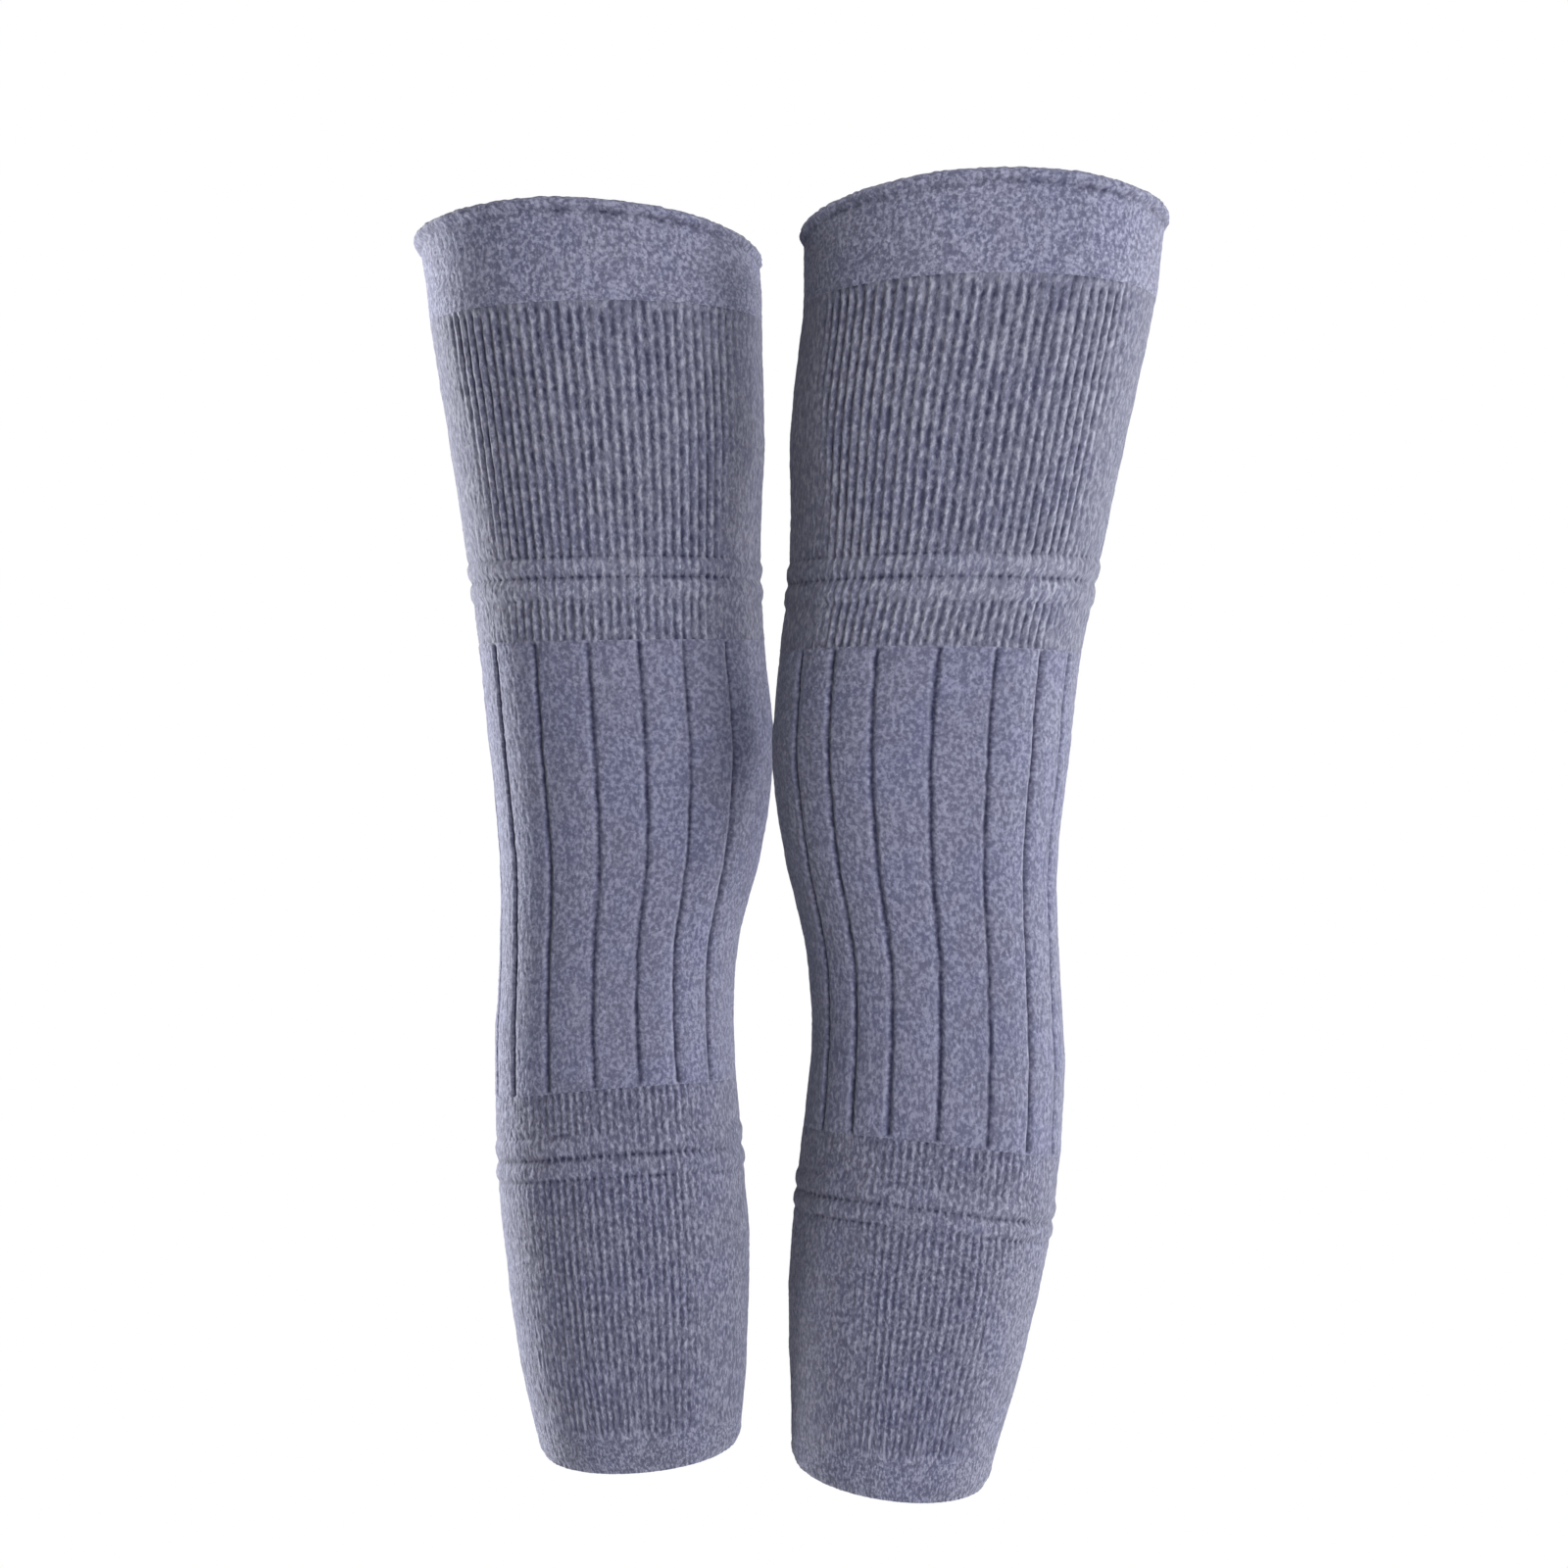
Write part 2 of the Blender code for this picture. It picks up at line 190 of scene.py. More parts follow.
# Faint ones on the fronts, as they show, and softer, longer ones behind the knees
CREASES = {
    Side.RIGHT: (
        Crease(0.1620, 36, 10, 0.0004, 0.0012, -0.00025),
        Crease(0.2480, -14, 13, -0.0010, 0.0016, -0.00030),
        Crease(0.2690, -38, 12, 0.0012, 0.0018, 0.00035),
        Crease(0.0520, 62, 20, 0.0015, 0.0022, 0.00030),
        Crease(0.2130, -171, 50, 0.0030, 0.0036, 0.00110),
        Crease(0.2310, 166, 38, -0.0022, 0.0031, 0.00085),
        Crease(0.2460, -176, 56, 0.0018, 0.0040, 0.00140),
        Crease(0.2650, 158, 30, 0.0026, 0.0028, 0.00060),
        Crease(0.1960, 149, 27, -0.0016, 0.0030, 0.00055),
        Crease(0.0610, 172, 34, 0.0012, 0.0034, 0.00050),
        Crease(0.4330, -163, 33, -0.0014, 0.0026, 0.00055),
        Crease(0.4460, 171, 24, 0.0010, 0.0022, 0.00040),
    ),
    Side.LEFT: (
        Crease(0.1640, -42, 9, -0.0002, 0.0011, -0.00030),
        Crease(0.1930, -17, 8, 0.0003, 0.0012, -0.00030),
        Crease(0.2720, 28, 14, 0.0014, 0.0019, 0.00035),
        Crease(0.1050, 58, 18, -0.0012, 0.0024, 0.00030),
        Crease(0.2090, 174, 47, -0.0026, 0.0034, 0.00100),
        Crease(0.2270, -168, 41, 0.0020, 0.0030, 0.00090),
        Crease(0.2430, 178, 58, -0.0015, 0.0042, 0.00135),
        Crease(0.2610, -155, 29, -0.0024, 0.0027, 0.00065),
        Crease(0.2790, 163, 36, 0.0012, 0.0030, 0.00055),
        Crease(0.0570, -174, 30, -0.0010, 0.0032, 0.00045),
        Crease(0.4290, 168, 35, 0.0016, 0.0027, 0.00060),
        Crease(0.4430, -166, 22, -0.0010, 0.0022, 0.00040),
    ),
}


class Unevenness:
    """Smooth seeded variation round and along a tube, between -1 and 1."""

    def __init__(self, seed: int, columns: int, rows: int) -> None:
        """Draws the values between which it is smoothed.

        Args:
            seed: where the values start.
            columns: how many there are round the tube.
            rows: how many there are along it.
        """
        self.values = np.random.default_rng(seed).uniform(-1.0, 1.0, (rows, columns))

    def at(self, turn: np.ndarray, down: np.ndarray) -> np.ndarray:
        """Reads the variation.

        Args:
            turn: share of a full turn, from 0 to 1, after which it repeats.
            down: share of the tube's length, from 0 to 1.

        Returns:
            One value for each point.
        """
        rows, columns = self.values.shape
        x = np.mod(turn, 1.0) * columns
        y = np.clip(down, 0.0, 1.0) * (rows - 1)
        left = np.floor(x).astype(int)
        upper = np.minimum(np.floor(y).astype(int), rows - 2)
        u, v = eased(x - left), eased(y - upper)
        left, right = left % columns, (left + 1) % columns
        above = self.values[upper, left] * (1 - u) + self.values[upper, right] * u
        below = self.values[upper + 1, left] * (1 - u) + self.values[upper + 1, right] * u
        return above * (1 - v) + below * v


def eased(share: Numbers) -> Numbers:
    """Eases a share between 0 and 1 in and out."""
    return share * share * (3 - 2 * share)


def step_up(value: Numbers, low: float, high: float) -> Numbers:
    """Goes smoothly from 0 at low to 1 at high."""
    return eased(np.clip((value - low) / (high - low), 0.0, 1.0))


def bell(value: Numbers, centre: float, width: float) -> Numbers:
    """A smooth bump of height 1 round its centre."""
    return np.exp(-(((value - centre) / width) ** 2))


def layered(shadow: Numbers, more: Numbers) -> Numbers:
    """Lays one share of shadow over another."""
    return shadow + (1 - shadow) * more


def turn_of(angle: Numbers) -> Numbers:
    """Share of a full turn at an angle, from 0 at the back round to 1."""
    return angle / (2 * math.pi) + 0.5


def spaced(first: float, last: float, step: float) -> np.ndarray:
    """Even marks about a step apart, with both ends."""
    return np.linspace(first, last, max(2, round(abs(last - first) / step)) + 1)


@dataclass
class Tube:
    """One warmer's form: the shared cut in the place and pose of one side."""

    side: Side
    spread_from_middle: float = 0.0763
    stagger: float = 0.037
    squareness: float = 2.12
    seed: int = 31
    slow_swing: float = 0.00025
    ripple_swing: float = 0.00022
    nap_swing: float = 0.00020
    calm_margin: float = 0.04
    front_ripple: float = 0.25
    side_angles: Span = (40.0, 80.0)
    slow: Unevenness = field(init=False)
    ripple: Unevenness = field(init=False)
    nap: Unevenness = field(init=False)

    def __post_init__(self) -> None:
        """Prepares the slow swells, the ripples and the nap of well-worn cloth."""
        seed = self.seed + self.side.value
        self.slow = Unevenness(seed, 11, 19)
        self.ripple = Unevenness(seed + 10, 6, 55)
        self.nap = Unevenness(seed + 20, 330, 290)

    @property
    def label(self) -> str:
        """The word that this warmer's pieces start with."""
        return self.side.name.lower()

    def smooth(self, values: list[float], along: np.ndarray) -> np.ndarray:
        """Reads a column of the cut on a smooth cubic curve.

        Args:
            values: one value for each course.
            along: distances along the cloth.

        Returns:
            The column's value at each distance.
        """
        marks = np.array([course.along for course in COURSES])
        values = np.array(values, dtype=float)
        last = len(marks) - 1
        before = np.maximum(np.arange(last + 1) - 1, 0)
        after = np.minimum(np.arange(last + 1) + 1, last)
        slopes = (values[after] - values[before]) / (marks[after] - marks[before])
        index = np.clip(np.searchsorted(marks, along, side="right") - 1, 0, last - 1)
        span = marks[index + 1] - marks[index]
        t = (along - marks[index]) / span
        return (
            values[index] * (2 * t**3 - 3 * t**2 + 1)
            + slopes[index] * span * (t**3 - 2 * t**2 + t)
            + values[index + 1] * (3 * t**2 - 2 * t**3)
            + slopes[index + 1] * span * (t**3 - t**2)
        )

    def cut(self, name: str, along: np.ndarray) -> np.ndarray:
        """Reads one named column of the shared cut."""
        return self.smooth([getattr(course, name) for course in COURSES], along)

    def placed(self, name: str, along: np.ndarray) -> np.ndarray:
        """Reads one named column of this side's places."""
        return self.smooth([getattr(place, name) for place in PLACES[self.side]], along)

    def outward(self, angle: np.ndarray) -> np.ndarray:
        """Angles in degrees, positive towards the warmer's outer side."""
        return np.degrees(angle) * self.side.value

    def crease(self, along: np.ndarray, angle: np.ndarray) -> np.ndarray:
        """Adds up this side's creases and slow swells.

        Args:
            along: distances along the cloth.
            angle: angles round the tube.

        Returns:
            The move of each point, negative into the tube.
        """
        outward = self.outward(angle)
        moved = sum(crease.sink(along, outward) for crease in CREASES[self.side])
        turn, down = turn_of(angle), along / COURSES[-1].along
        calm = step_up(down, 0.0, self.calm_margin) * step_up(1.0 - down, 0.0, self.calm_margin)
        at_side = layered(self.front_ripple, step_up(np.abs(outward), *self.side_angles))
        swing = self.slow_swing * self.slow.at(turn, down)
        swing = swing + self.ripple_swing * at_side * self.ripple.at(turn, down)
        return moved + swing * calm + self.nap_swing * self.nap.at(turn, down)

    def points(self, along: np.ndarray, angle: np.ndarray, offset: np.ndarray) -> np.ndarray:
        """Places points of the cloth.

        Args:
            along: distances along the cloth.
            angle: angles round the tube, before the cloth's turn.
            offset: how far each point stands out from the cut.

        Returns:
            An array of points, with X, Y and Z last.
        """
        turned = angle + np.radians(self.placed("turn", along))
        across, ahead = np.sin(turned), np.cos(turned)
        power = self.squareness
        reach = (np.abs(across) ** power + np.abs(ahead) ** power) ** (-1 / power)
        spread = self.placed("spread", along) + offset
        front_share = 0.5 * ahead + 0.25 * (1 + np.cos(2 * turned))
        sign = self.side.value
        x = (self.cut("half_width", along) + spread) * reach * across
        x = x + sign * (self.spread_from_middle - self.placed("inward", along))
        y = -(self.cut("half_depth", along) + spread) * reach * ahead
        y = y - self.placed("forward", along) - sign * self.stagger
        z = self.placed("height", along) + self.placed("outer_rise", along) * sign * across
        z = z + self.placed("front_rise", along) * front_share
        return np.stack([x, y, z], axis=-1)


@dataclass(frozen=True)
class Wales:
    """The columns of points that every piece of a warmer shares, so that they meet."""

    ribs: int = 33
    rib_half_arc: float = math.radians(60)
    per_rib: int = 8
    extra_ribs: int = 2
    side_step: float = math.radians(0.72)
    side_reach: float = math.radians(102)
    back_step: float = math.radians(2.2)

    @property
    def pitch(self) -> float:
        """Angle between two ribs."""
        return 2 * self.rib_half_arc / self.ribs

    def angles(self) -> np.ndarray:
        """Angles of the columns: finest over the front, and wider apart round the back."""
        fine = self.pitch / self.per_rib
        half = self.rib_half_arc + self.extra_ribs * self.pitch / 2
        front = np.arange(round(2 * half / fine) + 1) * fine - half
        side_count = round((self.side_reach - half) / self.side_step)
        back_count = round((math.pi - self.side_reach) / self.back_step)
        sides = np.linspace(half, self.side_reach, side_count + 1)[1:]
        back = np.linspace(self.side_reach, math.pi, back_count + 1)[1:]
        beyond = np.concatenate([sides, back])
        return np.concatenate([-beyond[::-1], front, beyond[:-1]])

    def furrow(self, angle: np.ndarray) -> np.ndarray:
        """Share of a furrow's depth: 1 at its bottom and 0 on the rib's crown."""
        return 0.5 + 0.5 * np.cos(2 * np.pi * (angle + self.rib_half_arc) / self.pitch)

    def number(self, angle: np.ndarray) -> np.ndarray:
        """Number of the furrow that each angle is nearest to."""
        return np.round((angle + self.rib_half_arc) / self.pitch)


WALES = Wales()
CLOTH_RADIUS = COURSES[6].half_width
MEASURED_RINGS, MEASURED_POINTS = 60, 181

# Distances along the cloth where its pieces meet
TOP, WELT_EDGE, KNEE_TOP, KNEE_FOOT, HEM_EDGE, FOOT = (
    COURSES[number].along for number in (0, 2, 5, 10, 14, 15)
)

# The photograph's side, its focal length and how far its middle lies under eye level, in pixels
PHOTO_SIDE_PX, FOCAL_LENGTH_PX, MIDDLE_BELOW_EYE_PX = 1600, 3247, 95
SENSOR = 36.0


@dataclass(frozen=True)
class Station:
    """One ring of a piece's closed wall.

    Depth is 0 on the wall's outside and 1 on its inside. Lift moves the ring beyond the cut's
    edge, up at the top and down at the hem. Corner marks a hard edge between two faces.
    """

    along: float
    depth: float
    lift: float = 0.0
    corner: bool = False


def rounded_edge(along: float, height: float, steps: int = 6) -> list[Station]:
    """Rings that round an edge over, from the outside to the inside.

    Args:
        along: where the edge lies along the cloth.
        height: how far the roll stands out, negative for a lower edge.
        steps: how many faces go round.

    Returns:
        The rings between the two sides of the wall.
    """
    turns = [math.pi * i / steps for i in range(1, steps)]
    return [Station(along, 0.5 - 0.5 * math.cos(turn), height * math.sin(turn)) for turn in turns]


@dataclass(frozen=True)
class Relief:
    """What stands out of one piece's outside: the move of each point and the shade painted on its
    yarn.

    The furrow share is 1 in full painted shade, and below 0 where a painted highlight stands
    for raised stitches catching the light. It also carries the plain knit's darker tone.
    """

    offset: np.ndarray
    furrow: np.ndarray


@dataclass
class KnitPiece:
    """One knitted piece of a warmer, a thin closed wall on its solid's form."""

    tube: Tube
    name: str
    start: float
    end: float
    finish: "HeatheredKnit"
    row_step: float = 0.0015
    wall: float = 0.0024
    lining_step: float = 0.006
    inner_dip: float = 0.2
    seed: int = 5
    relaxed_share: float = 1 / 1.2

    @property
    def node(self) -> str:
        """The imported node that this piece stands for."""
        return f"{self.tube.label}_{self.name}"

    def down(self, along: np.ndarray) -> np.ndarray:
        """Share of the piece's length at each distance."""
        return (along - self.start) / (self.end - self.start)

    def round_tube(self, step: int, count: int, angle: np.ndarray) -> np.ndarray:
        """One of the piece's own variations round the tube, between -1 and 1."""
        return Unevenness(self.seed + step, count, 2).at(turn_of(angle), np.zeros_like(angle))

    def down_tube(self, step: int, count: int, along: np.ndarray) -> np.ndarray:
        """One of the piece's own variations down it, between -1 and 1."""
        return Unevenness(self.seed + step, 1, count).at(np.zeros_like(along), self.down(along))

    def all_over(
        self, step: int, size: tuple[int, int], along: np.ndarray, angle: np.ndarray
    ) -> np.ndarray:
        """One of the piece's own variations round and down it, between -1 and 1."""
        return Unevenness(self.seed + step, *size).at(turn_of(angle), self.down(along))

    def outer_rows(self) -> np.ndarray:
        """Distances along the cloth of the outside's rings, both ends included."""
        return spaced(self.start, self.end, self.row_step)

    def top_rim(self) -> list[Station]:
        """Rings over the upper edge, from inside to outside. A seam has none."""
        return []

    def bottom_rim(self) -> list[Station]:
        """Rings under the lower edge, from outside to inside. A seam has none."""
        return []

    def stations(self) -> list[Station]:
        """The rings of the whole closed wall: down the outside, then up the inside."""
        top, bottom = self.top_rim(), self.bottom_rim()
        rows = self.outer_rows()
        outside = [Station(along, 0.0) for along in rows]
        outside[0] = Station(rows[0], 0.0, corner=not top)
        outside[-1] = Station(rows[-1], 0.0, corner=not bottom)
        lining = spaced(self.end, self.start, self.lining_step)
        inside = [Station(along, 1.0) for along in lining]
        inside[0] = Station(lining[0], 1.0, corner=not bottom)
        inside[-1] = Station(lining[-1], 1.0, corner=not top)
        return outside + bottom + inside + top

    def relief(self, along: np.ndarray, angle: np.ndarray) -> Relief:
        """The outside's relief, which a plain piece has none of."""
        return Relief(np.zeros_like(along), np.zeros_like(along))

    def sway(self, along: np.ndarray, angle: np.ndarray) -> np.ndarray:
        """How far the wales wander sideways, as an angle. Plain pieces keep them straight."""
        return np.zeros_like(along)

    def rise(self, along: np.ndarray, angle: np.ndarray) -> np.ndarray:
        """How far points are lifted. Only a loose edge has loops that rise."""
        return np.zeros_like(along)

    def grid(self) -> tuple[np.ndarray, np.ndarray, np.ndarray]:
        """Works out every point of the wall.

        Returns:
            The points, the share of painted shade at each (painted highlight below 0), and the
            distance down the wall of each ring, all with one row for each ring.
        """
        stations = self.stations()
        angles = WALES.angles()
        along = np.repeat(np.array([s.along for s in stations])[:, None], len(angles), axis=1)
        depth = np.array([s.depth for s in stations])[:, None]
        lift = np.array([s.lift for s in stations])[:, None]
        angle = np.repeat(angles[None, :], len(stations), axis=0)
        relief = self.relief(along, angle)
        crease = self.tube.crease(along, angle)
        outer = crease + relief.offset
        inner = crease - self.wall + np.minimum(relief.offset, 0.0) * self.inner_dip
        offset = outer * (1 - depth) + inner * depth
        points = self.tube.points(along, angle + self.sway(along, angle), offset)
        points[..., 2] += lift + self.rise(along, angle)
        steps = np.abs(np.diff(along[:, 0])) + self.wall * np.abs(np.diff(depth[:, 0]))
        down = along[0, 0] + np.concatenate([[0.0], np.cumsum(steps)])
        return points, relief.furrow * (1 - depth), down

    def build(self) -> bpy.types.Object:
        """Makes the piece's mesh and object.

        Returns:
            The piece, at the origin, with its cloth map and its share of painted shade.
        """
        points, furrow, down = self.grid()
        rings, columns = furrow.shape
        number = np.arange(rings * columns).reshape(rings, columns)
        below = np.roll(number, -1, axis=0)
        faces = np.stack(
            [number, below, np.roll(below, -1, axis=1), np.roll(number, -1, axis=1)], axis=-1
        )
        mesh = bpy.data.meshes.new(f"{self.node}_knit")
        mesh.from_pydata(points.reshape(-1, 3).tolist(), [], faces.reshape(-1, 4).tolist())
        mesh.update()
        self.map_cloth(mesh, down, columns)
        # The share of painted shade, below 0 a painted highlight, for the material to read
        shadow = mesh.attributes.new("furrow", "FLOAT", "POINT")
        shadow.data.foreach_set("value", furrow.astype(np.float32).ravel())
        self.mark_corners(mesh, columns)
        obj = bpy.data.objects.new(mesh.name, mesh)
        bpy.context.scene.collection.objects.link(obj)
        return obj

    def map_cloth(self, mesh: bpy.types.Mesh, down: np.ndarray, columns: int) -> None:
        """Lays the cloth's own map, in metres: round the tube, and down it.

        Args:
            mesh: the piece's mesh, whose faces run ring by ring.
            down: the distance down the wall of each ring.
            columns: how many columns of points there are.
        """
        rings = len(down)
        around = np.append(WALES.angles(), WALES.angles()[0] + 2 * math.pi) * CLOTH_RADIUS
        closed = np.append(down, down[-1] + self.wall)
        ring, col = np.divmod(np.arange(rings * columns), columns)
        u = np.stack([around[col], around[col], around[col + 1], around[col + 1]], axis=-1)
        v = np.stack([closed[ring], closed[ring + 1], closed[ring + 1], closed[ring]], axis=-1)
        layer = mesh.uv_layers.new(name="cloth")
        layer.data.foreach_set("uv", np.stack([u, v], axis=-1).astype(np.float32).ravel())

    def mark_corners(self, mesh: bpy.types.Mesh, columns: int) -> None:
        """Shades the mesh smooth, but for the hard edges where a seam's face meets the wall.

        Args:
            mesh: the piece's mesh.
            columns: how many columns of points there are.
        """
        mesh.shade_smooth()
        ends = np.empty(len(mesh.edges) * 2, dtype=np.int32)
        mesh.edges.foreach_get("vertices", ends)
        rings = ends.reshape(-1, 2) // columns
        corners = [i for i, station in enumerate(self.stations()) if station.corner]
        sharp = (rings[:, 0] == rings[:, 1]) & np.isin(rings[:, 0], corners)
        mesh.edges.foreach_set("use_edge_sharp", sharp)

    def flat_size(self) -> tuple[float, float, float]:
        """The piece's size off the figure.

        Returns:
            Its widest measure all round, its length and its area.
        """
        rows = np.linspace(self.start, self.end, MEASURED_RINGS)
        angles = np.linspace(-math.pi, math.pi, MEASURED_POINTS)
        along, angle = np.meshgrid(rows, angles, indexing="ij")
        rings = self.tube.points(along, angle, np.zeros_like(along))
        girths = np.linalg.norm(np.diff(rings, axis=1), axis=-1).sum(axis=1) * self.relaxed_share
        length = self.end - self.start
        return float(girths.max()), length, float(girths.mean() * length)

    def dress(self) -> bpy.types.Object:
        """Builds the piece, gives it its material, parents it to the root and hides the imported
        part.

        Returns:
            The finished piece.
        """
        obj = self.build()
        obj.data.materials.append(self.finish.material())
        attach(obj, "root")
        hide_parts(self.node)
        width, length, area = self.flat_size()
        faces = len(obj.data.polygons)
        LOG.info("%s: %d faces, cut %.3f x %.3f m", obj.name, faces, width, length)
        return obj


@dataclass
class TopWelt(KnitPiece):
    """The plain band at the top, turned over, with its rolled and linked rim."""

    rim_step: float = 0.0005
    rim_rows: int = 15
    rim_bulge: float = 0.0014
    rim_middle: float = 0.0013
    rim_width: float = 0.0022
    rim_rise: float = 0.0011
    loop_height: float = 0.00034
    loop_middle: float = 0.0010
    loop_reach: float = 0.0030
    link_line: float = 0.0040
    link_width: float = 0.0012
    link_depth: float = 0.00050
    link_shade: float = 0.46
    link_dots: float = 0.34

    def outer_rows(self) -> np.ndarray:
        """Closer rings over the rolled rim, wider ones down the band."""
        rim = self.start + self.rim_step * np.arange(self.rim_rows)
        return np.concatenate([rim, spaced(rim[-1], self.end, self.row_step)[1:]])

    def top_rim(self) -> list[Station]:
        """Rounds the rim over from the inside to the outside."""
        return rounded_edge(self.start, self.rim_rise)[::-1]

    def rise(self, along: np.ndarray, angle: np.ndarray) -> np.ndarray:
        """Lifts the rim's loops unevenly.

        Args:
            along: distances along the cloth.
            angle: angles round the tube.

        Returns:
            The lift of each point.
        """
        loops, drift = self.round_tube(0, 240, angle), self.round_tube(6, 23, angle)
        near_rim = 1.0 - step_up(along, 0.0, self.loop_reach)
        return self.loop_height * near_rim * (0.7 * loops + 0.5 * drift)

    def relief(self, along: np.ndarray, angle: np.ndarray) -> Relief:
        """Swells the rim, ripples its loops, sinks the linked line under it and paints shadow
        along it.

        Args:
            along: distances along the cloth.
            angle: angles round the tube.

        Returns:
            The piece's relief.
        """
        loops, dots = self.round_tube(7, 205, angle), self.round_tube(1, 230, angle)
        patches = self.round_tube(2, 17, angle)
        rolled = bell(along, self.rim_middle, self.rim_width)
        ripple = self.loop_height * loops * bell(along, self.loop_middle, self.rim_width)
        linked = bell(along, self.link_line, self.link_width)
        offset = self.rim_bulge * rolled + ripple - self.link_depth * linked * (1 + 0.4 * dots)
        # Painted shadow along the sunk linking line under the rolled rim, in patches
        shade = linked * (self.link_shade + self.link_dots * dots) * (0.80 + 0.50 * patches)
        return Relief(offset, np.clip(shade, 0.0, 1.0))


@dataclass(frozen=True)
class RibBand:
    """How far the ribs reach round a tube, in degrees positive towards its outer side."""

    outer_above: float
    outer_below: float
    inner_above: float
    inner_below: float
    fade: float

    def share(self, down: np.ndarray, outward: np.ndarray) -> np.ndarray:
        """Share of the ribs' strength, less towards the band's two sides.

        Args:
            down: share of the piece's length, from its top.
            outward: angles in degrees, positive towards the outer side.

        Returns:
            The share at each point.
        """
        outer = self.outer_above + (self.outer_below - self.outer_above) * down
        inner = self.inner_above + (self.inner_below - self.inner_above) * down
        past_inner = step_up(outward - inner, -0.5 * self.fade, 0.5 * self.fade)
        return past_inner * step_up(outer - outward, -0.5 * self.fade, 0.5 * self.fade)


UPPER_BANDS = {
    Side.RIGHT: RibBand(44, 28, -70, -54, 14),
    Side.LEFT: RibBand(50, 43, -65, -45, 14),
}

LOWER_BANDS = {
    Side.RIGHT: RibBand(32, 31, -48, -40, 20),
    Side.LEFT: RibBand(41, 32, -30, -27, 24),
}


@dataclass(frozen=True)
class RidgeLine:
    """A sunk course beside the ridges: its distance from the knee panel, its depth and the
    strength of its painted shade.
    """

    apart: float
    depth: float
    shade: float


RIDGE_LINES = (
    RidgeLine(0.0160, 0.00036, 0.62),
    RidgeLine(0.0248, 0.00060, 1.30),
    RidgeLine(0.0328, 0.00050, 0.95),
)


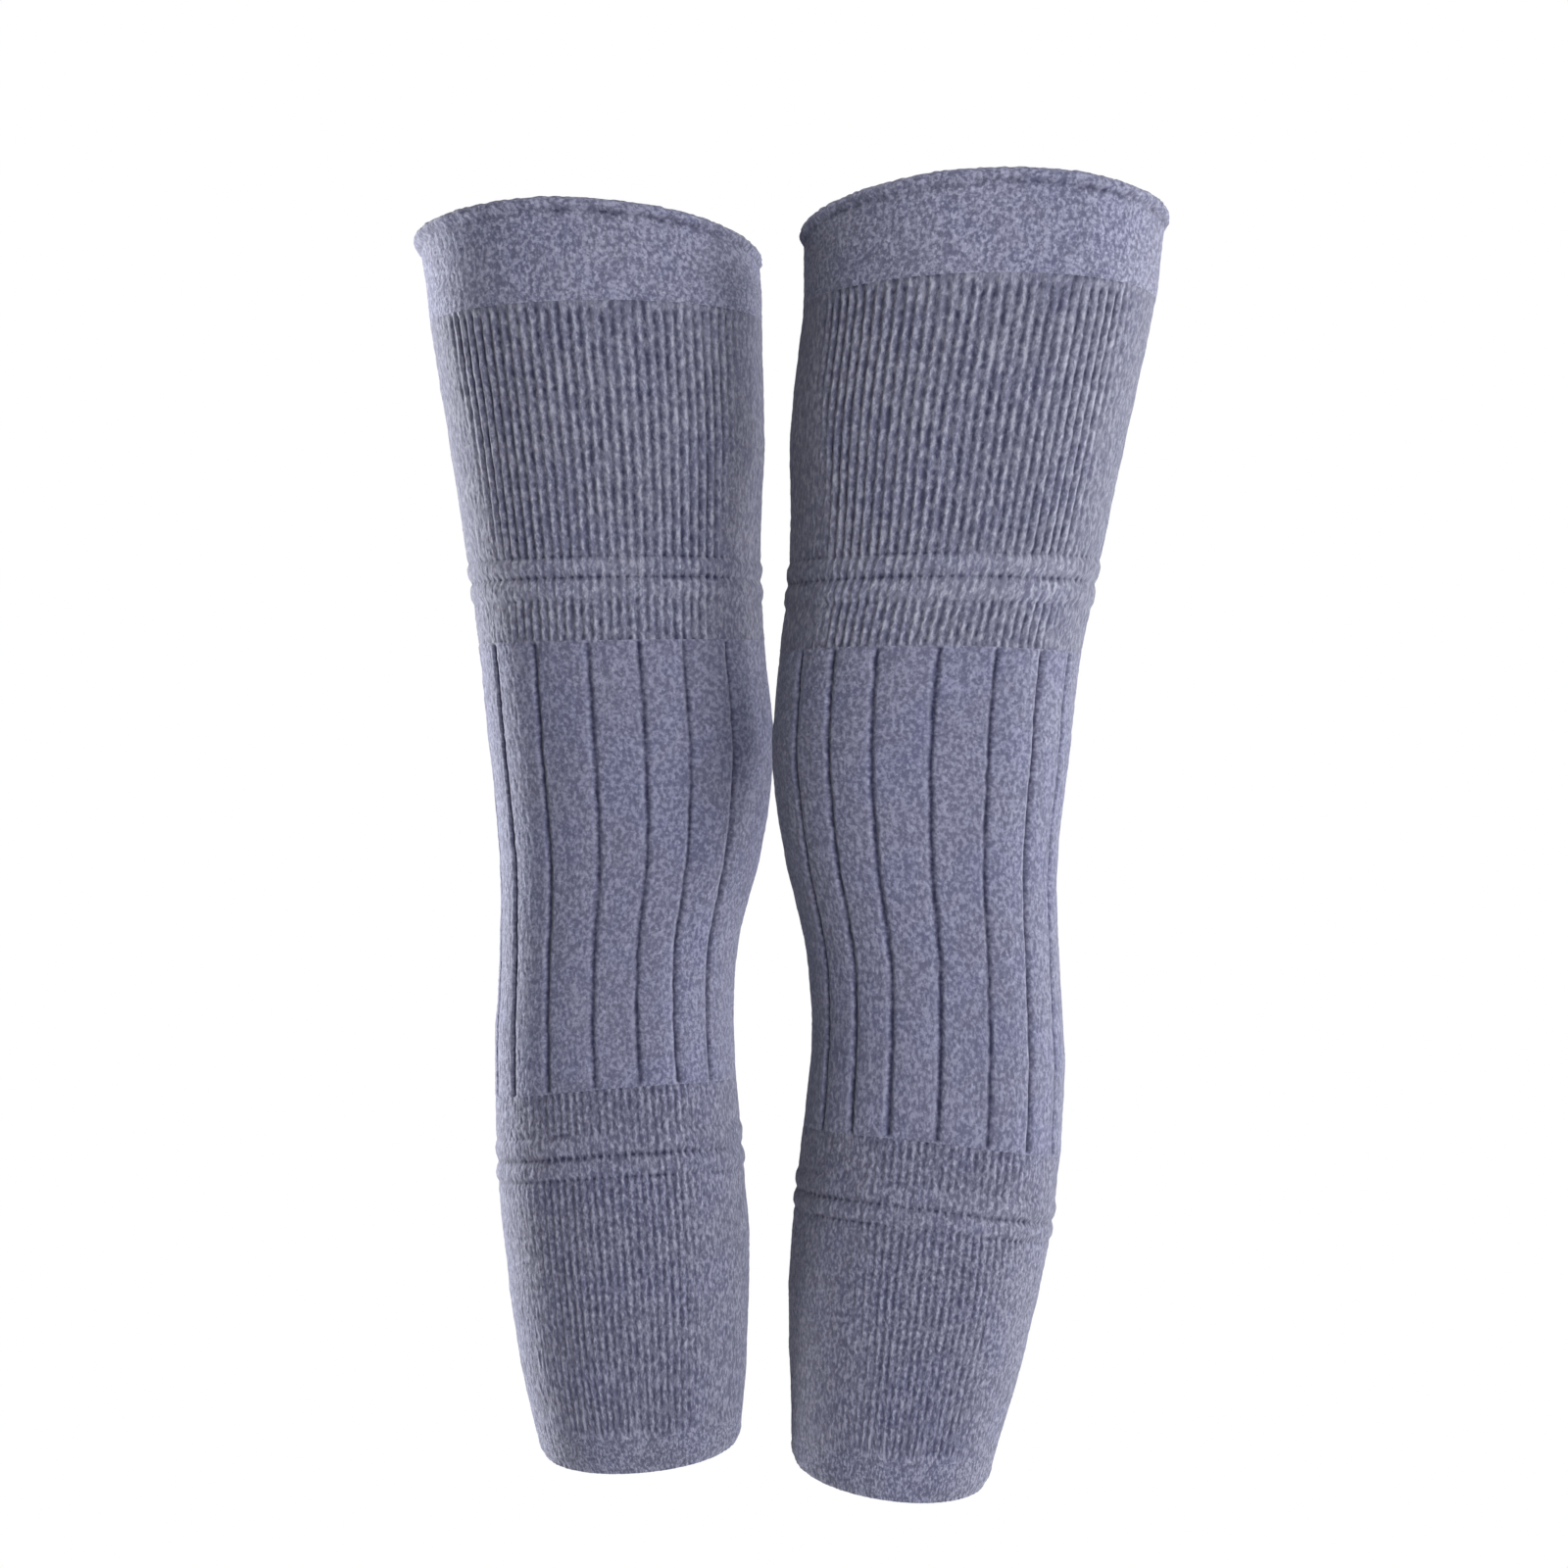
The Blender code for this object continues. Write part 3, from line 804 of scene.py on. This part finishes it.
@dataclass
class RibbedPiece(KnitPiece):
    """A piece with ribs over its front, and two raised ridges beside the knee panel."""

    rib_depth: float = 0.0010
    rib_shade: float = 0.88
    plain_shade: float = 0.414
    mottle_swing: float = 0.06
    end_shade: float = 1.0
    panel_above: bool = False
    band: RibBand = UPPER_BANDS[Side.LEFT]
    line_width: float = 0.0011
    strip_strength: float = 0.92
    ridge_strength: float = 0.32
    ridge_gain: float = 0.34
    ridge_swell: float = 0.00070
    ridge_rise: float = 0.003
    ridge_dip: float = 0.0022
    ridge_margin: float = 0.004
    panel_edge: float = 0.0018
    seam_width: float = 0.0013
    ragged: float = 0.0012
    straight_end: float = 0.06
    fine_sway: float = 0.032
    slow_sway: float = 0.055
    row_step: float = 0.0014
    ridge_row_step: float = 0.0008

    def from_panel(self, along: Numbers) -> Numbers:
        """Distance from the knee panel's edge."""
        return along - self.start if self.panel_above else self.end - along

    def from_far_end(self, along: Numbers) -> Numbers:
        """Distance from the piece's other edge."""
        return self.end - along if self.panel_above else along - self.start

    def outer_rows(self) -> np.ndarray:
        """Closer rings over the ridges, wider ones down the long rib."""
        reach = RIDGE_LINES[-1].apart + self.ridge_margin
        near = spaced(0.0, reach, self.ridge_row_step)
        far = spaced(reach, self.end - self.start, self.row_step)[1:]
        apart = np.concatenate([near, far])
        return self.start + apart if self.panel_above else (self.end - apart)[::-1]

    def sway(self, along: np.ndarray, angle: np.ndarray) -> np.ndarray:
        """Lets the ribs wander a little between the piece's two straight ends.

        Args:
            along: distances along the cloth.
            angle: angles round the tube.

        Returns:
            How far each point moves round the tube, as an angle.
        """
        down = self.down(along)
        loose = step_up(down, 0.0, self.straight_end) * step_up(1 - down, 0.0, self.straight_end)
        front = step_up(-np.abs(angle), -WALES.rib_half_arc - 0.1, -WALES.rib_half_arc + 0.1)
        fine = self.all_over(11, (110, 34), along, angle)
        slow = self.all_over(12, (26, 5), along, angle)
        return loose * front * WALES.pitch * (self.fine_sway * fine + self.slow_sway * slow)

    def rib_share(self, along: np.ndarray, angle: np.ndarray) -> np.ndarray:
        """Share of the full rib depth: less over the ridges, none at the piece's ends.

        Args:
            along: distances along the cloth.
            angle: angles round the tube.

        Returns:
            The share at each point.
        """
        apart, outward = self.from_panel(along), self.tube.outward(angle)
        ends = Unevenness(self.seed + 3, WALES.ribs + 3, 2)
        turn = WALES.number(angle) / (WALES.ribs + 3)
        ragged = self.ragged * ends.at(turn, np.zeros_like(along))
        firm = self.ridge_strength + self.ridge_gain * step_up(-outward, -25, 35)
        first, last = RIDGE_LINES[0].apart, RIDGE_LINES[-1].apart
        over_ridge = step_up(apart, first, first + 0.0012)
        past_ridge = step_up(apart + 0.5 * ragged, last - 0.0012, last + 0.0010)
        share = self.strip_strength + (firm - self.strip_strength) * over_ridge
        share = share + (1.0 - firm) * past_ridge
        share = share * step_up(apart - 0.35 * ragged, 0.0002, 0.0016)
        share = share * step_up(self.from_far_end(along) - ragged, 0.0008, 0.0028)
        return share * self.band.share(self.down(along), outward)

    def relief(self, along: np.ndarray, angle: np.ndarray) -> Relief:
        """Sinks the furrows between the ribs and the lines beside the ridges, and paints shade
        into both.

        Args:
            along: distances along the cloth.
            angle: angles round the tube.

        Returns:
            The piece's relief.
        """
        apart, furrow = self.from_panel(along), WALES.furrow(angle)
        share = self.rib_share(along, angle)
        band = self.band.share(self.down(along), self.tube.outward(angle))
        number = (WALES.number(angle) + 0.5) / (WALES.ribs + 20)
        dashes = Unevenness(self.seed + 5, WALES.ribs + 20, 58).at(number, self.down(along))
        patches = self.all_over(6, (31, 9), along, angle)
        mottle = self.all_over(8, (220, 80), along, angle)
        first, last = RIDGE_LINES[0].apart, RIDGE_LINES[-1].apart
        between = step_up(apart, first, first + self.ridge_rise)
        between = between * step_up(-apart, -last, -last + self.ridge_rise)
        puffed = between * (1 - bell(apart, RIDGE_LINES[1].apart, self.ridge_dip))
        depth = self.rib_depth * share * (0.86 + 0.20 * dashes)
        offset = puffed * self.ridge_swell - depth * furrow**1.15
        # Painted shade in the furrows between the ribs
        dark = self.rib_shade * furrow**0.9 * share * (0.94 + 0.24 * dashes)
        # The plain knit beside the ribs takes its own darker, mottled tone through the same share
        dark = layered(dark, (1 - band) * (self.plain_shade + self.mottle_swing * mottle))
        # Dark seam lines at the panel edge and the far end: partly a dark join, partly the
        # furrows' painted shade carried to the ends
        edge = bell(apart, 0.0, self.panel_edge) * (0.10 + 0.72 * furrow)
        seam = self.end_shade * bell(self.from_far_end(along), 0.0002, self.seam_width)
        edge = (edge + seam * (0.42 + 0.50 * furrow)) * layered(0.25, band)
        dark = layered(dark, np.clip(edge * (0.95 + 0.30 * patches), 0.0, 1.0))
        near_front = layered(0.45, step_up(-np.abs(angle), -1.5, -0.9))
        for line in RIDGE_LINES:
            sunk = bell(apart, line.apart, self.line_width) * near_front
            offset = offset - line.depth * sunk
            # Dotted painted shade along each sunk line, darkest in the furrows
            dotted = line.shade * sunk * (0.20 + 0.82 * furrow) * (0.90 + 0.40 * patches)
            dark = np.maximum(dark, dotted)
        return Relief(offset, np.clip(dark, 0.0, 1.0))


@dataclass(frozen=True)
class KneeLine:
    """One fine sunk line: its angle in degrees at the panel's top and foot, and the strength of
    its painted shade.
    """

    above: float
    below: float
    shade: float


KNEE_LINES = {
    Side.RIGHT: (
        KneeLine(-64.5, -64.5, 0.80),
        KneeLine(-42.3, -43.5, 0.95),
        KneeLine(-19.2, -22.0, 1.00),
        KneeLine(3.6, 0.9, 0.88),
        KneeLine(23.6, 22.2, 0.84),
        KneeLine(41.5, 40.6, 0.78),
        KneeLine(61.5, 60.0, 0.66),
    ),
    Side.LEFT: (
        KneeLine(-58.0, -59.0, 0.62),
        KneeLine(-40.6, -40.6, 0.88),
        KneeLine(-22.9, -22.5, 0.92),
        KneeLine(0.2, -1.0, 1.00),
        KneeLine(22.2, 21.5, 0.90),
        KneeLine(41.9, 42.0, 0.78),
        KneeLine(60.5, 61.5, 0.60),
    ),
}


@dataclass
class KneePanel(KnitPiece):
    """The plain panel over the knee, slightly puffed between its fine sunk lines."""

    line_pitch: float = math.radians(21.5)
    line_half_width: float = 0.00118
    line_depth: float = 0.0010
    line_wander: float = 0.00020
    core_share: float = 0.74
    puff: float = 0.00040
    edge_apart: float = 0.0017
    edge_width: float = 0.0007
    edge_lift: float = 0.00012
    # Strength of the painted highlight on the lines' raised edges
    painted_edge_highlight: float = 0.34
    end_rings: tuple[float, ...] = (0.0, 0.0006, 0.0012, 0.0020, 0.0030, 0.0044)
    end_clear: float = 0.0002
    end_reach: float = 0.0011
    row_step: float = 0.0018

    def outer_rows(self) -> np.ndarray:
        """Closer rings at both ends, where the panel puffs out, and wider ones between."""
        ends = np.array(self.end_rings)
        middle = spaced(self.start + ends[-1], self.end - ends[-1], self.row_step)[1:-1]
        return np.concatenate([self.start + ends, middle, self.end - ends[::-1]])

    def relief(self, along: np.ndarray, angle: np.ndarray) -> Relief:
        """Sinks the lines, paints shade in them and a highlight on their raised edges, and puffs
        out the cloth between them.

        Args:
            along: distances along the cloth.
            angle: angles round the tube.

        Returns:
            The piece's relief.
        """
        radius, down = self.tube.cut("half_width", along), self.down(along)
        ends = step_up(along - self.start, self.end_clear, self.end_reach)
        ends = ends * step_up(self.end - along, self.end_clear, self.end_reach)
        sunk, dark, edged = (np.zeros_like(along) for _ in range(3))
        nearest = np.full_like(along, 2 * math.pi)
        for number, line in enumerate(KNEE_LINES[self.tube.side]):
            centre = np.radians(line.above + (line.below - line.above) * down)
            wander = self.down_tube(number, 40, along)
            dots = self.down_tube(number + 50, 84, along)
            away = (angle - centre) * radius + self.line_wander * wander
            sunk = np.maximum(sunk, bell(away, 0.0, self.line_half_width))
            # Painted shade in each line's narrow core
            core = bell(away, 0.0, self.line_half_width * self.core_share)
            dark = np.maximum(dark, core * line.shade * (1.12 + 0.12 * wander + 0.24 * dots))
            # Raised edges beside each line with a painted highlight, stronger on the -X side,
            # which faces the light from +X
            beside = bell(np.abs(away), self.edge_apart, self.edge_width)
            beside = beside * (0.62 - 0.38 * np.sign(away))
            edged = np.maximum(edged, beside * (0.66 + 0.35 * wander + 0.50 * dots))
            nearest = np.minimum(nearest, np.abs(angle - centre))
        share = np.clip(2 * nearest / self.line_pitch, 0.0, 1.0)
        in_front = step_up(-np.abs(angle), -3.6 * self.line_pitch, -3.1 * self.line_pitch)
        puffed = self.puff * (1 - (1 - share) ** 2) * in_front
        puffed = puffed * (1.0 + 0.7 * bell(down, 0.0, 0.03) + 0.4 * bell(down, 1.0, 0.02))
        offset = ends * (puffed - self.line_depth * sunk + self.edge_lift * edged)
        # Painted shade in the lines, less a painted highlight on their edges, which goes below 0
        return Relief(offset, np.clip(ends * (dark - self.painted_edge_highlight * edged), -1.0, 1.0))


@dataclass
class HemWelt(KnitPiece):
    """The narrow plain band that ends the tube, with its turned edge."""

    edge_drop: float = 0.0008
    edge_draw: float = 0.0009
    edge_width: float = 0.0022
    fold_apart: float = 0.0034
    fold_swell: float = 0.0003
    fold_width: float = 0.0020
    loop_apart: float = 0.0010
    loop_height: float = 0.00020
    loop_width: float = 0.0024
    row_step: float = 0.0009

    def bottom_rim(self) -> list[Station]:
        """Rounds the hem under from the outside to the inside."""
        return rounded_edge(self.end, -self.edge_drop)

    def relief(self, along: np.ndarray, angle: np.ndarray) -> Relief:
        """Draws the very edge in a little, with uneven loops along it.

        Args:
            along: distances along the cloth.
            angle: angles round the tube.

        Returns:
            The piece's relief.
        """
        above, loops = self.end - along, self.round_tube(0, 170, angle)
        offset = self.fold_swell * bell(above, self.fold_apart, self.fold_width)
        offset = offset - self.edge_draw * bell(above, 0.0, self.edge_width)
        offset = offset + self.loop_height * loops * bell(above, self.loop_apart, self.loop_width)
        return Relief(offset, np.zeros_like(along))


class Wire:
    """A shader value that ordinary sums can be written with."""

    def __init__(self, graph: "Graph", socket: bpy.types.NodeSocket) -> None:
        """Keeps the socket and the graph that new nodes go to."""
        self.graph = graph
        self.socket = socket

    def __add__(self, other: "Value") -> "Wire":
        """This value plus another."""
        return self.graph.sum("ADD", self, other)

    def __radd__(self, other: "Value") -> "Wire":
        """Another value plus this one."""
        return self.graph.sum("ADD", other, self)

    def __sub__(self, other: "Value") -> "Wire":
        """This value less another."""
        return self.graph.sum("SUBTRACT", self, other)

    def __rsub__(self, other: "Value") -> "Wire":
        """Another value less this one."""
        return self.graph.sum("SUBTRACT", other, self)

    def __mul__(self, other: "Value") -> "Wire":
        """This value times another."""
        return self.graph.sum("MULTIPLY", self, other)

    def __rmul__(self, other: "Value") -> "Wire":
        """Another value times this one."""
        return self.graph.sum("MULTIPLY", other, self)

    def __truediv__(self, other: "Value") -> "Wire":
        """This value over another."""
        return self.graph.sum("DIVIDE", self, other)

    def __rtruediv__(self, other: "Value") -> "Wire":
        """Another value over this one."""
        return self.graph.sum("DIVIDE", other, self)

    def rise(self, low: float, high: float) -> "Wire":
        """Goes smoothly from 0 to 1.

        Args:
            low: this value where it is 0.
            high: this value where it is 1.

        Returns:
            The eased share.
        """
        inputs = {"Value": self, "From Min": low, "From Max": high}
        made = self.graph.node("ShaderNodeMapRange", {"interpolation_type": "SMOOTHSTEP"}, inputs)
        return Wire(self.graph, made.outputs["Result"])


Value = Union[float, Wire]


class Graph:
    """The node tree of one material, or of the world."""

    def __init__(self, owner: Union[bpy.types.Material, bpy.types.World]) -> None:
        """Empties the owner's node tree."""
        owner.use_nodes = True
        self.owner = owner
        self.tree = owner.node_tree
        self.tree.nodes.clear()

    def node(self, kind: str, settings: dict, inputs: dict) -> bpy.types.Node:
        """Adds one node.

        Args:
            kind: the node's type.
            settings: its own settings, which are set before its sockets.
            inputs: values or wires for its sockets, by name or number.

        Returns:
            The new node.
        """
        made = self.tree.nodes.new(kind)
        for key, value in settings.items():
            setattr(made, key, value)
        for key, value in inputs.items():
            if isinstance(value, Wire):
                self.tree.links.new(value.socket, made.inputs[key])
            else:
                made.inputs[key].default_value = value
        return made

    def sum(self, operation: str, first: Value, second: Value = 0.0) -> Wire:
        """Works on one or two numbers with one Math node."""
        made = self.node("ShaderNodeMath", {"operation": operation}, {0: first, 1: second})
        return Wire(self, made.outputs[0])

    def blend(self, share: Value, first: Union[Colour, Wire], second: Union[Colour, Wire]) -> Wire:
        """Mixes two colours.

        Args:
            share: how much there is of the second.
            first: the colour at a share of 0.
            second: the colour at a share of 1.

        Returns:
            The mixed colour.
        """
        ends = [c if isinstance(c, Wire) else (*c, 1.0) for c in (first, second)]
        inputs = {0: share, 6: ends[0], 7: ends[1]}
        made = self.node("ShaderNodeMix", {"data_type": "RGBA"}, inputs)
        return Wire(self, made.outputs[2])

    def cloth_map(self, stretch: float) -> Wire:
        """The piece's own map, rolled into a round so that it meets itself without a seam.

        Args:
            stretch: how far the pattern is drawn out down the cloth.

        Returns:
            A place in metres for each point.
        """
        laid = self.node("ShaderNodeUVMap", {"uv_map": "cloth"}, {})
        apart = self.node("ShaderNodeSeparateXYZ", {}, {"Vector": Wire(self, laid.outputs["UV"])})
        turn = Wire(self, apart.outputs["X"]) / CLOTH_RADIUS
        rolled = self.node("ShaderNodeCombineXYZ", {}, {
            "X": self.sum("COSINE", turn) * CLOTH_RADIUS,
            "Y": self.sum("SINE", turn) * CLOTH_RADIUS,
            "Z": Wire(self, apart.outputs["Y"]) / stretch,
        })
        return Wire(self, rolled.outputs["Vector"])

    def object_place(self) -> Wire:
        """The place of each point in the object."""
        made = self.node("ShaderNodeTexCoord", {}, {})
        return Wire(self, made.outputs["Object"])

    def attribute(self, name: str) -> Wire:
        """One of the mesh's own numbers."""
        made = self.node("ShaderNodeAttribute", {"attribute_name": name}, {})
        return Wire(self, made.outputs["Fac"])

    def flecks(self, place: Wire, size: float, detail: float, twist: float = 0.0) -> Wire:
        """Soft random flecks.

        Args:
            place: where they are read.
            size: about how large they are.
            detail: how many finer layers they have.
            twist: how far they are twisted.

        Returns:
            A value round one half at each point.
        """
        inputs = {
            "Vector": place, "Scale": 1 / size, "Detail": detail, "Roughness": 0.6,
            "Distortion": twist,
        }
        made = self.node("ShaderNodeTexNoise", {"noise_dimensions": "3D"}, inputs)
        return Wire(self, made.outputs["Fac"])

    def surface(self, inputs: dict) -> bpy.types.Material:
        """Adds the surface shader and the output.

        Args:
            inputs: values or wires for the shader's sockets, by name.

        Returns:
            The finished material.
        """
        shader = self.node("ShaderNodeBsdfPrincipled", {}, inputs)
        shaded = Wire(self, shader.outputs["BSDF"])
        self.node("ShaderNodeOutputMaterial", {}, {"Surface": shaded})
        return self.owner


@dataclass(frozen=True)
class HeatheredKnit:
    """Matt wool-like knit of mixed yarn, with light and dark fibres in it, and painted shade and
    highlight.
    """

    name: str
    ground: Colour
    light: Colour
    dark: Colour
    # Colour of the shade painted into furrows, sunk lines and seam lines; also mixed in for the
    # plain knit's darker tone
    furrow: Colour = (0.021, 0.022, 0.056)
    bluish: Colour = (0.120, 0.132, 0.250)
    fleck: float = 0.00112
    stretch: float = 1.1
    light_share: float = 0.66
    dark_share: float = 0.55
    bump: float = 0.0008
    sheen: float = 0.20
    twist: float = 0.6
    cloud: float = 0.021
    tone_span: Span = (0.485, 0.60)
    strand_span: Span = (0.008, 0.040)
    speck_span: Span = (0.62, 0.74)
    cloud_span: Span = (0.40, 0.66)
    # Noise span that breaks up the painted shade
    painted_shade_span: Span = (0.38, 0.64)

    def material(self) -> bpy.types.Material:
        """The finish as a material, made once for all the pieces that share it."""
        found = bpy.data.materials.get(self.name)
        return found if found else self.made()

    def made(self) -> bpy.types.Material:
        """Builds the material's nodes.

        Returns:
            The new material.
        """
        graph = Graph(bpy.data.materials.new(self.name))
        place = graph.cloth_map(self.stretch)
        fine = graph.flecks(place, self.fleck * 1.15, 3.5)
        coarse = graph.flecks(place, self.fleck * 2.7, 1.0)
        strands = graph.flecks(place, self.fleck * 1.5, 1.0, self.twist)
        clouds = graph.flecks(graph.object_place(), self.cloud, 2.0).rise(*self.cloud_span)
        tone = fine * 0.84 + coarse * 0.16
        strand = 1.0 - graph.sum("ABSOLUTE", strands - 0.5).rise(*self.strand_span)
        specks = graph.flecks(place, self.fleck * 0.8, 0.0).rise(*self.speck_span)
        lit = tone.rise(*self.tone_span) * 0.78 + strand * 0.20 + specks * 0.5
        shaded = (1.0 - tone).rise(*self.tone_span)
        yarn = graph.blend(clouds * 0.40, self.ground, self.bluish)
        yarn = graph.blend(lit * self.light_share, yarn, self.light)
        yarn = graph.blend(shaded * self.dark_share, yarn, self.dark)
        # Painted light from the mesh's furrow share: below 0 a painted highlight towards the light
        # colour, above 0 painted shade towards the furrow colour, broken up by fine noise
        shadow = graph.attribute("furrow")
        yarn = graph.blend(shadow * -1.0, yarn, self.light)
        sunk = shadow * (0.86 + (1.0 - fine).rise(*self.painted_shade_span) * 0.20)
        yarn = graph.blend(sunk, yarn, self.furrow)
        bumps = {"Strength": 0.85, "Distance": self.bump, "Height": tone}
        bumped = graph.node("ShaderNodeBump", {}, bumps)
        return graph.surface({
            "Base Color": yarn,
            "Roughness": 0.93,
            "Specular IOR Level": 0.22,
            "Sheen Weight": self.sheen,
            "Sheen Roughness": 0.48,
            "Sheen Tint": (0.90, 0.92, 1.0, 1.0),
            "Normal": Wire(graph, bumped.outputs["Normal"]),
        })


WELT_KNIT = HeatheredKnit(
    "top_welt_yarn", (0.182, 0.185, 0.270), (0.385, 0.391, 0.522), (0.068, 0.069, 0.126)
)
UPPER_RIB_KNIT = HeatheredKnit(
    "upper_rib_yarn", (0.232, 0.235, 0.320), (0.455, 0.461, 0.556), (0.104, 0.105, 0.164),
    stretch=1.9, light_share=0.64, dark_share=0.46,
)
PANEL_KNIT = HeatheredKnit(
    "knee_panel_yarn", (0.158, 0.161, 0.240), (0.310, 0.315, 0.435), (0.074, 0.075, 0.134),
    fleck=0.0014,
)
LOWER_RIB_KNIT = HeatheredKnit(
    "lower_rib_yarn", (0.174, 0.176, 0.253), (0.400, 0.404, 0.518), (0.070, 0.071, 0.124),
    stretch=1.6, light_share=0.64, dark_share=0.55,
)
HEM_KNIT = HeatheredKnit(
    "hem_welt_yarn", (0.138, 0.140, 0.206), (0.350, 0.354, 0.462), (0.056, 0.057, 0.102)
)


@dataclass
class KneeWarmer:
    """One knee warmer, built from the top edge down."""

    side: Side

    def pieces(self) -> list[KnitPiece]:
        """The five pieces, in their order down the tube."""
        tube = Tube(self.side)
        seed = 100 + 50 * self.side.value
        return [
            TopWelt(tube, "top_welt", TOP, WELT_EDGE, WELT_KNIT, wall=0.0030, seed=seed),
            RibbedPiece(tube, "upper_rib", WELT_EDGE, KNEE_TOP, UPPER_RIB_KNIT,
                        seed=seed + 10, band=UPPER_BANDS[self.side]),
            KneePanel(tube, "knee_panel", KNEE_TOP, KNEE_FOOT, PANEL_KNIT, seed=seed + 20),
            RibbedPiece(tube, "lower_rib", KNEE_FOOT, HEM_EDGE, LOWER_RIB_KNIT,
                        seed=seed + 30, band=LOWER_BANDS[self.side], panel_above=True,
                        rib_depth=0.0005, rib_shade=0.72, plain_shade=0.252,
                        mottle_swing=0.08, end_shade=0.15),
            HemWelt(tube, "hem_welt", HEM_EDGE, FOOT, HEM_KNIT, seed=seed + 40),
        ]

    def build(self) -> list[bpy.types.Object]:
        """Builds and dresses the whole warmer."""
        return [piece.dress() for piece in self.pieces()]


@dataclass(frozen=True)
class SoftBox:
    """One soft light: its place, what it aims at, its two sizes and its power in watts."""

    name: str
    place: Point
    aim: Point
    width: float
    height: float
    power: float

    def build(self) -> None:
        """Adds the light, turned towards its aim."""
        data = bpy.data.lights.new(self.name, "AREA")
        data.energy = self.power
        data.shape = "RECTANGLE"
        data.size, data.size_y = self.width, self.height
        obj = bpy.data.objects.new(self.name, data)
        obj.location = self.place
        direction = Vector(self.aim) - Vector(self.place)
        obj.rotation_euler = direction.to_track_quat("-Z", "Y").to_euler()
        bpy.context.scene.collection.objects.link(obj)


@dataclass
class Studio:
    """The pale floor, the soft lights and the camera."""

    floor_height: float = -0.95
    floor_radius: float = 0.75
    floor_colour: Colour = (0.66, 0.66, 0.67)
    camera_place: Point = (0.0015, -1.233, -0.160)
    camera_pitch: float = -math.atan(MIDDLE_BELOW_EYE_PX / FOCAL_LENGTH_PX)
    lens: float = SENSOR * FOCAL_LENGTH_PX / PHOTO_SIDE_PX
    ambient: float = 0.15

    def build(self) -> None:
        """Builds the whole studio."""
        self.floor()
        self.backdrop()
        self.camera()
        for box in self.lights():
            box.build()
        view = bpy.context.scene.view_settings
        view.view_transform = "Standard"
        view.look = "None"

    def floor(self) -> None:
        """Lays a round pale floor well below the hems."""
        bpy.ops.mesh.primitive_circle_add(
            vertices=96, radius=self.floor_radius, fill_type="NGON",
            location=(0.0, 0.0, self.floor_height),
        )
        obj = bpy.context.object
        obj.name = "studio_floor"
        graph = Graph(bpy.data.materials.new("studio_floor_paint"))
        paint = {"Base Color": (*self.floor_colour, 1.0), "Roughness": 0.9}
        obj.data.materials.append(graph.surface(paint))
        obj.select_set(False)

    def backdrop(self) -> None:
        """Makes the world white to look at, and a dim even light on the cloth."""
        world = bpy.data.worlds.new("studio_white")
        bpy.context.scene.world = world
        graph = Graph(world)
        white = {"Color": (1.0, 1.0, 1.0, 1.0)}
        dim = graph.node("ShaderNodeBackground", {}, {**white, "Strength": self.ambient})
        bright = graph.node("ShaderNodeBackground", {}, white)
        path = graph.node("ShaderNodeLightPath", {}, {})
        mixed = graph.node("ShaderNodeMixShader", {}, {
            0: Wire(graph, path.outputs["Is Camera Ray"]),
            1: Wire(graph, dim.outputs["Background"]),
            2: Wire(graph, bright.outputs["Background"]),
        })
        graph.node("ShaderNodeOutputWorld", {}, {"Surface": Wire(graph, mixed.outputs["Shader"])})

    def camera(self) -> None:
        """Sets the camera at the photograph's viewing angle."""
        data = bpy.data.cameras.new("studio_camera")
        data.lens = self.lens
        data.sensor_width = SENSOR
        data.clip_start = 0.05
        obj = bpy.data.objects.new("studio_camera", data)
        obj.location = self.camera_place
        obj.rotation_euler = (math.pi / 2 + self.camera_pitch, 0.0, 0.0)
        bpy.context.scene.collection.objects.link(obj)
        bpy.context.scene.camera = obj

    def lights(self) -> list[SoftBox]:
        """One box behind on each side, two in front on the right and a wide one above."""
        return [
            SoftBox("left_box", (-1.09, 0.83, -0.20), (-0.07, 0.03, -0.22), 0.30, 1.1, 51.0),
            SoftBox("right_box", (1.25, 0.42, -0.20), (0.06, -0.02, -0.22), 0.35, 1.1, 20.0),
            SoftBox("front_box", (0.95, -1.82, 0.10), (0.0, 0.0, -0.20), 0.9, 1.0, 23.0),
            SoftBox("fill_box", (0.42, -1.95, -0.05), (0.0, 0.0, -0.20), 0.5, 0.9, 16.0),
            SoftBox("top_box", (0.0, -0.1, 1.70), (0.0, 0.0, 0.0), 1.4, 1.4, 6.0),
        ]


def main() -> None:
    """Dresses both warmers, then sets up the studio."""
    logging.basicConfig(level=logging.INFO, format="%(message)s")
    bpy.ops.object.select_all(action="DESELECT")
    for side in Side:
        pieces = KneeWarmer(side).build()
        LOG.info("%s warmer: %d pieces", side.name.lower(), len(pieces))
    Studio().build()
    LOG.info("studio: floor, lights and camera")


if __name__ == "__main__":
    main()
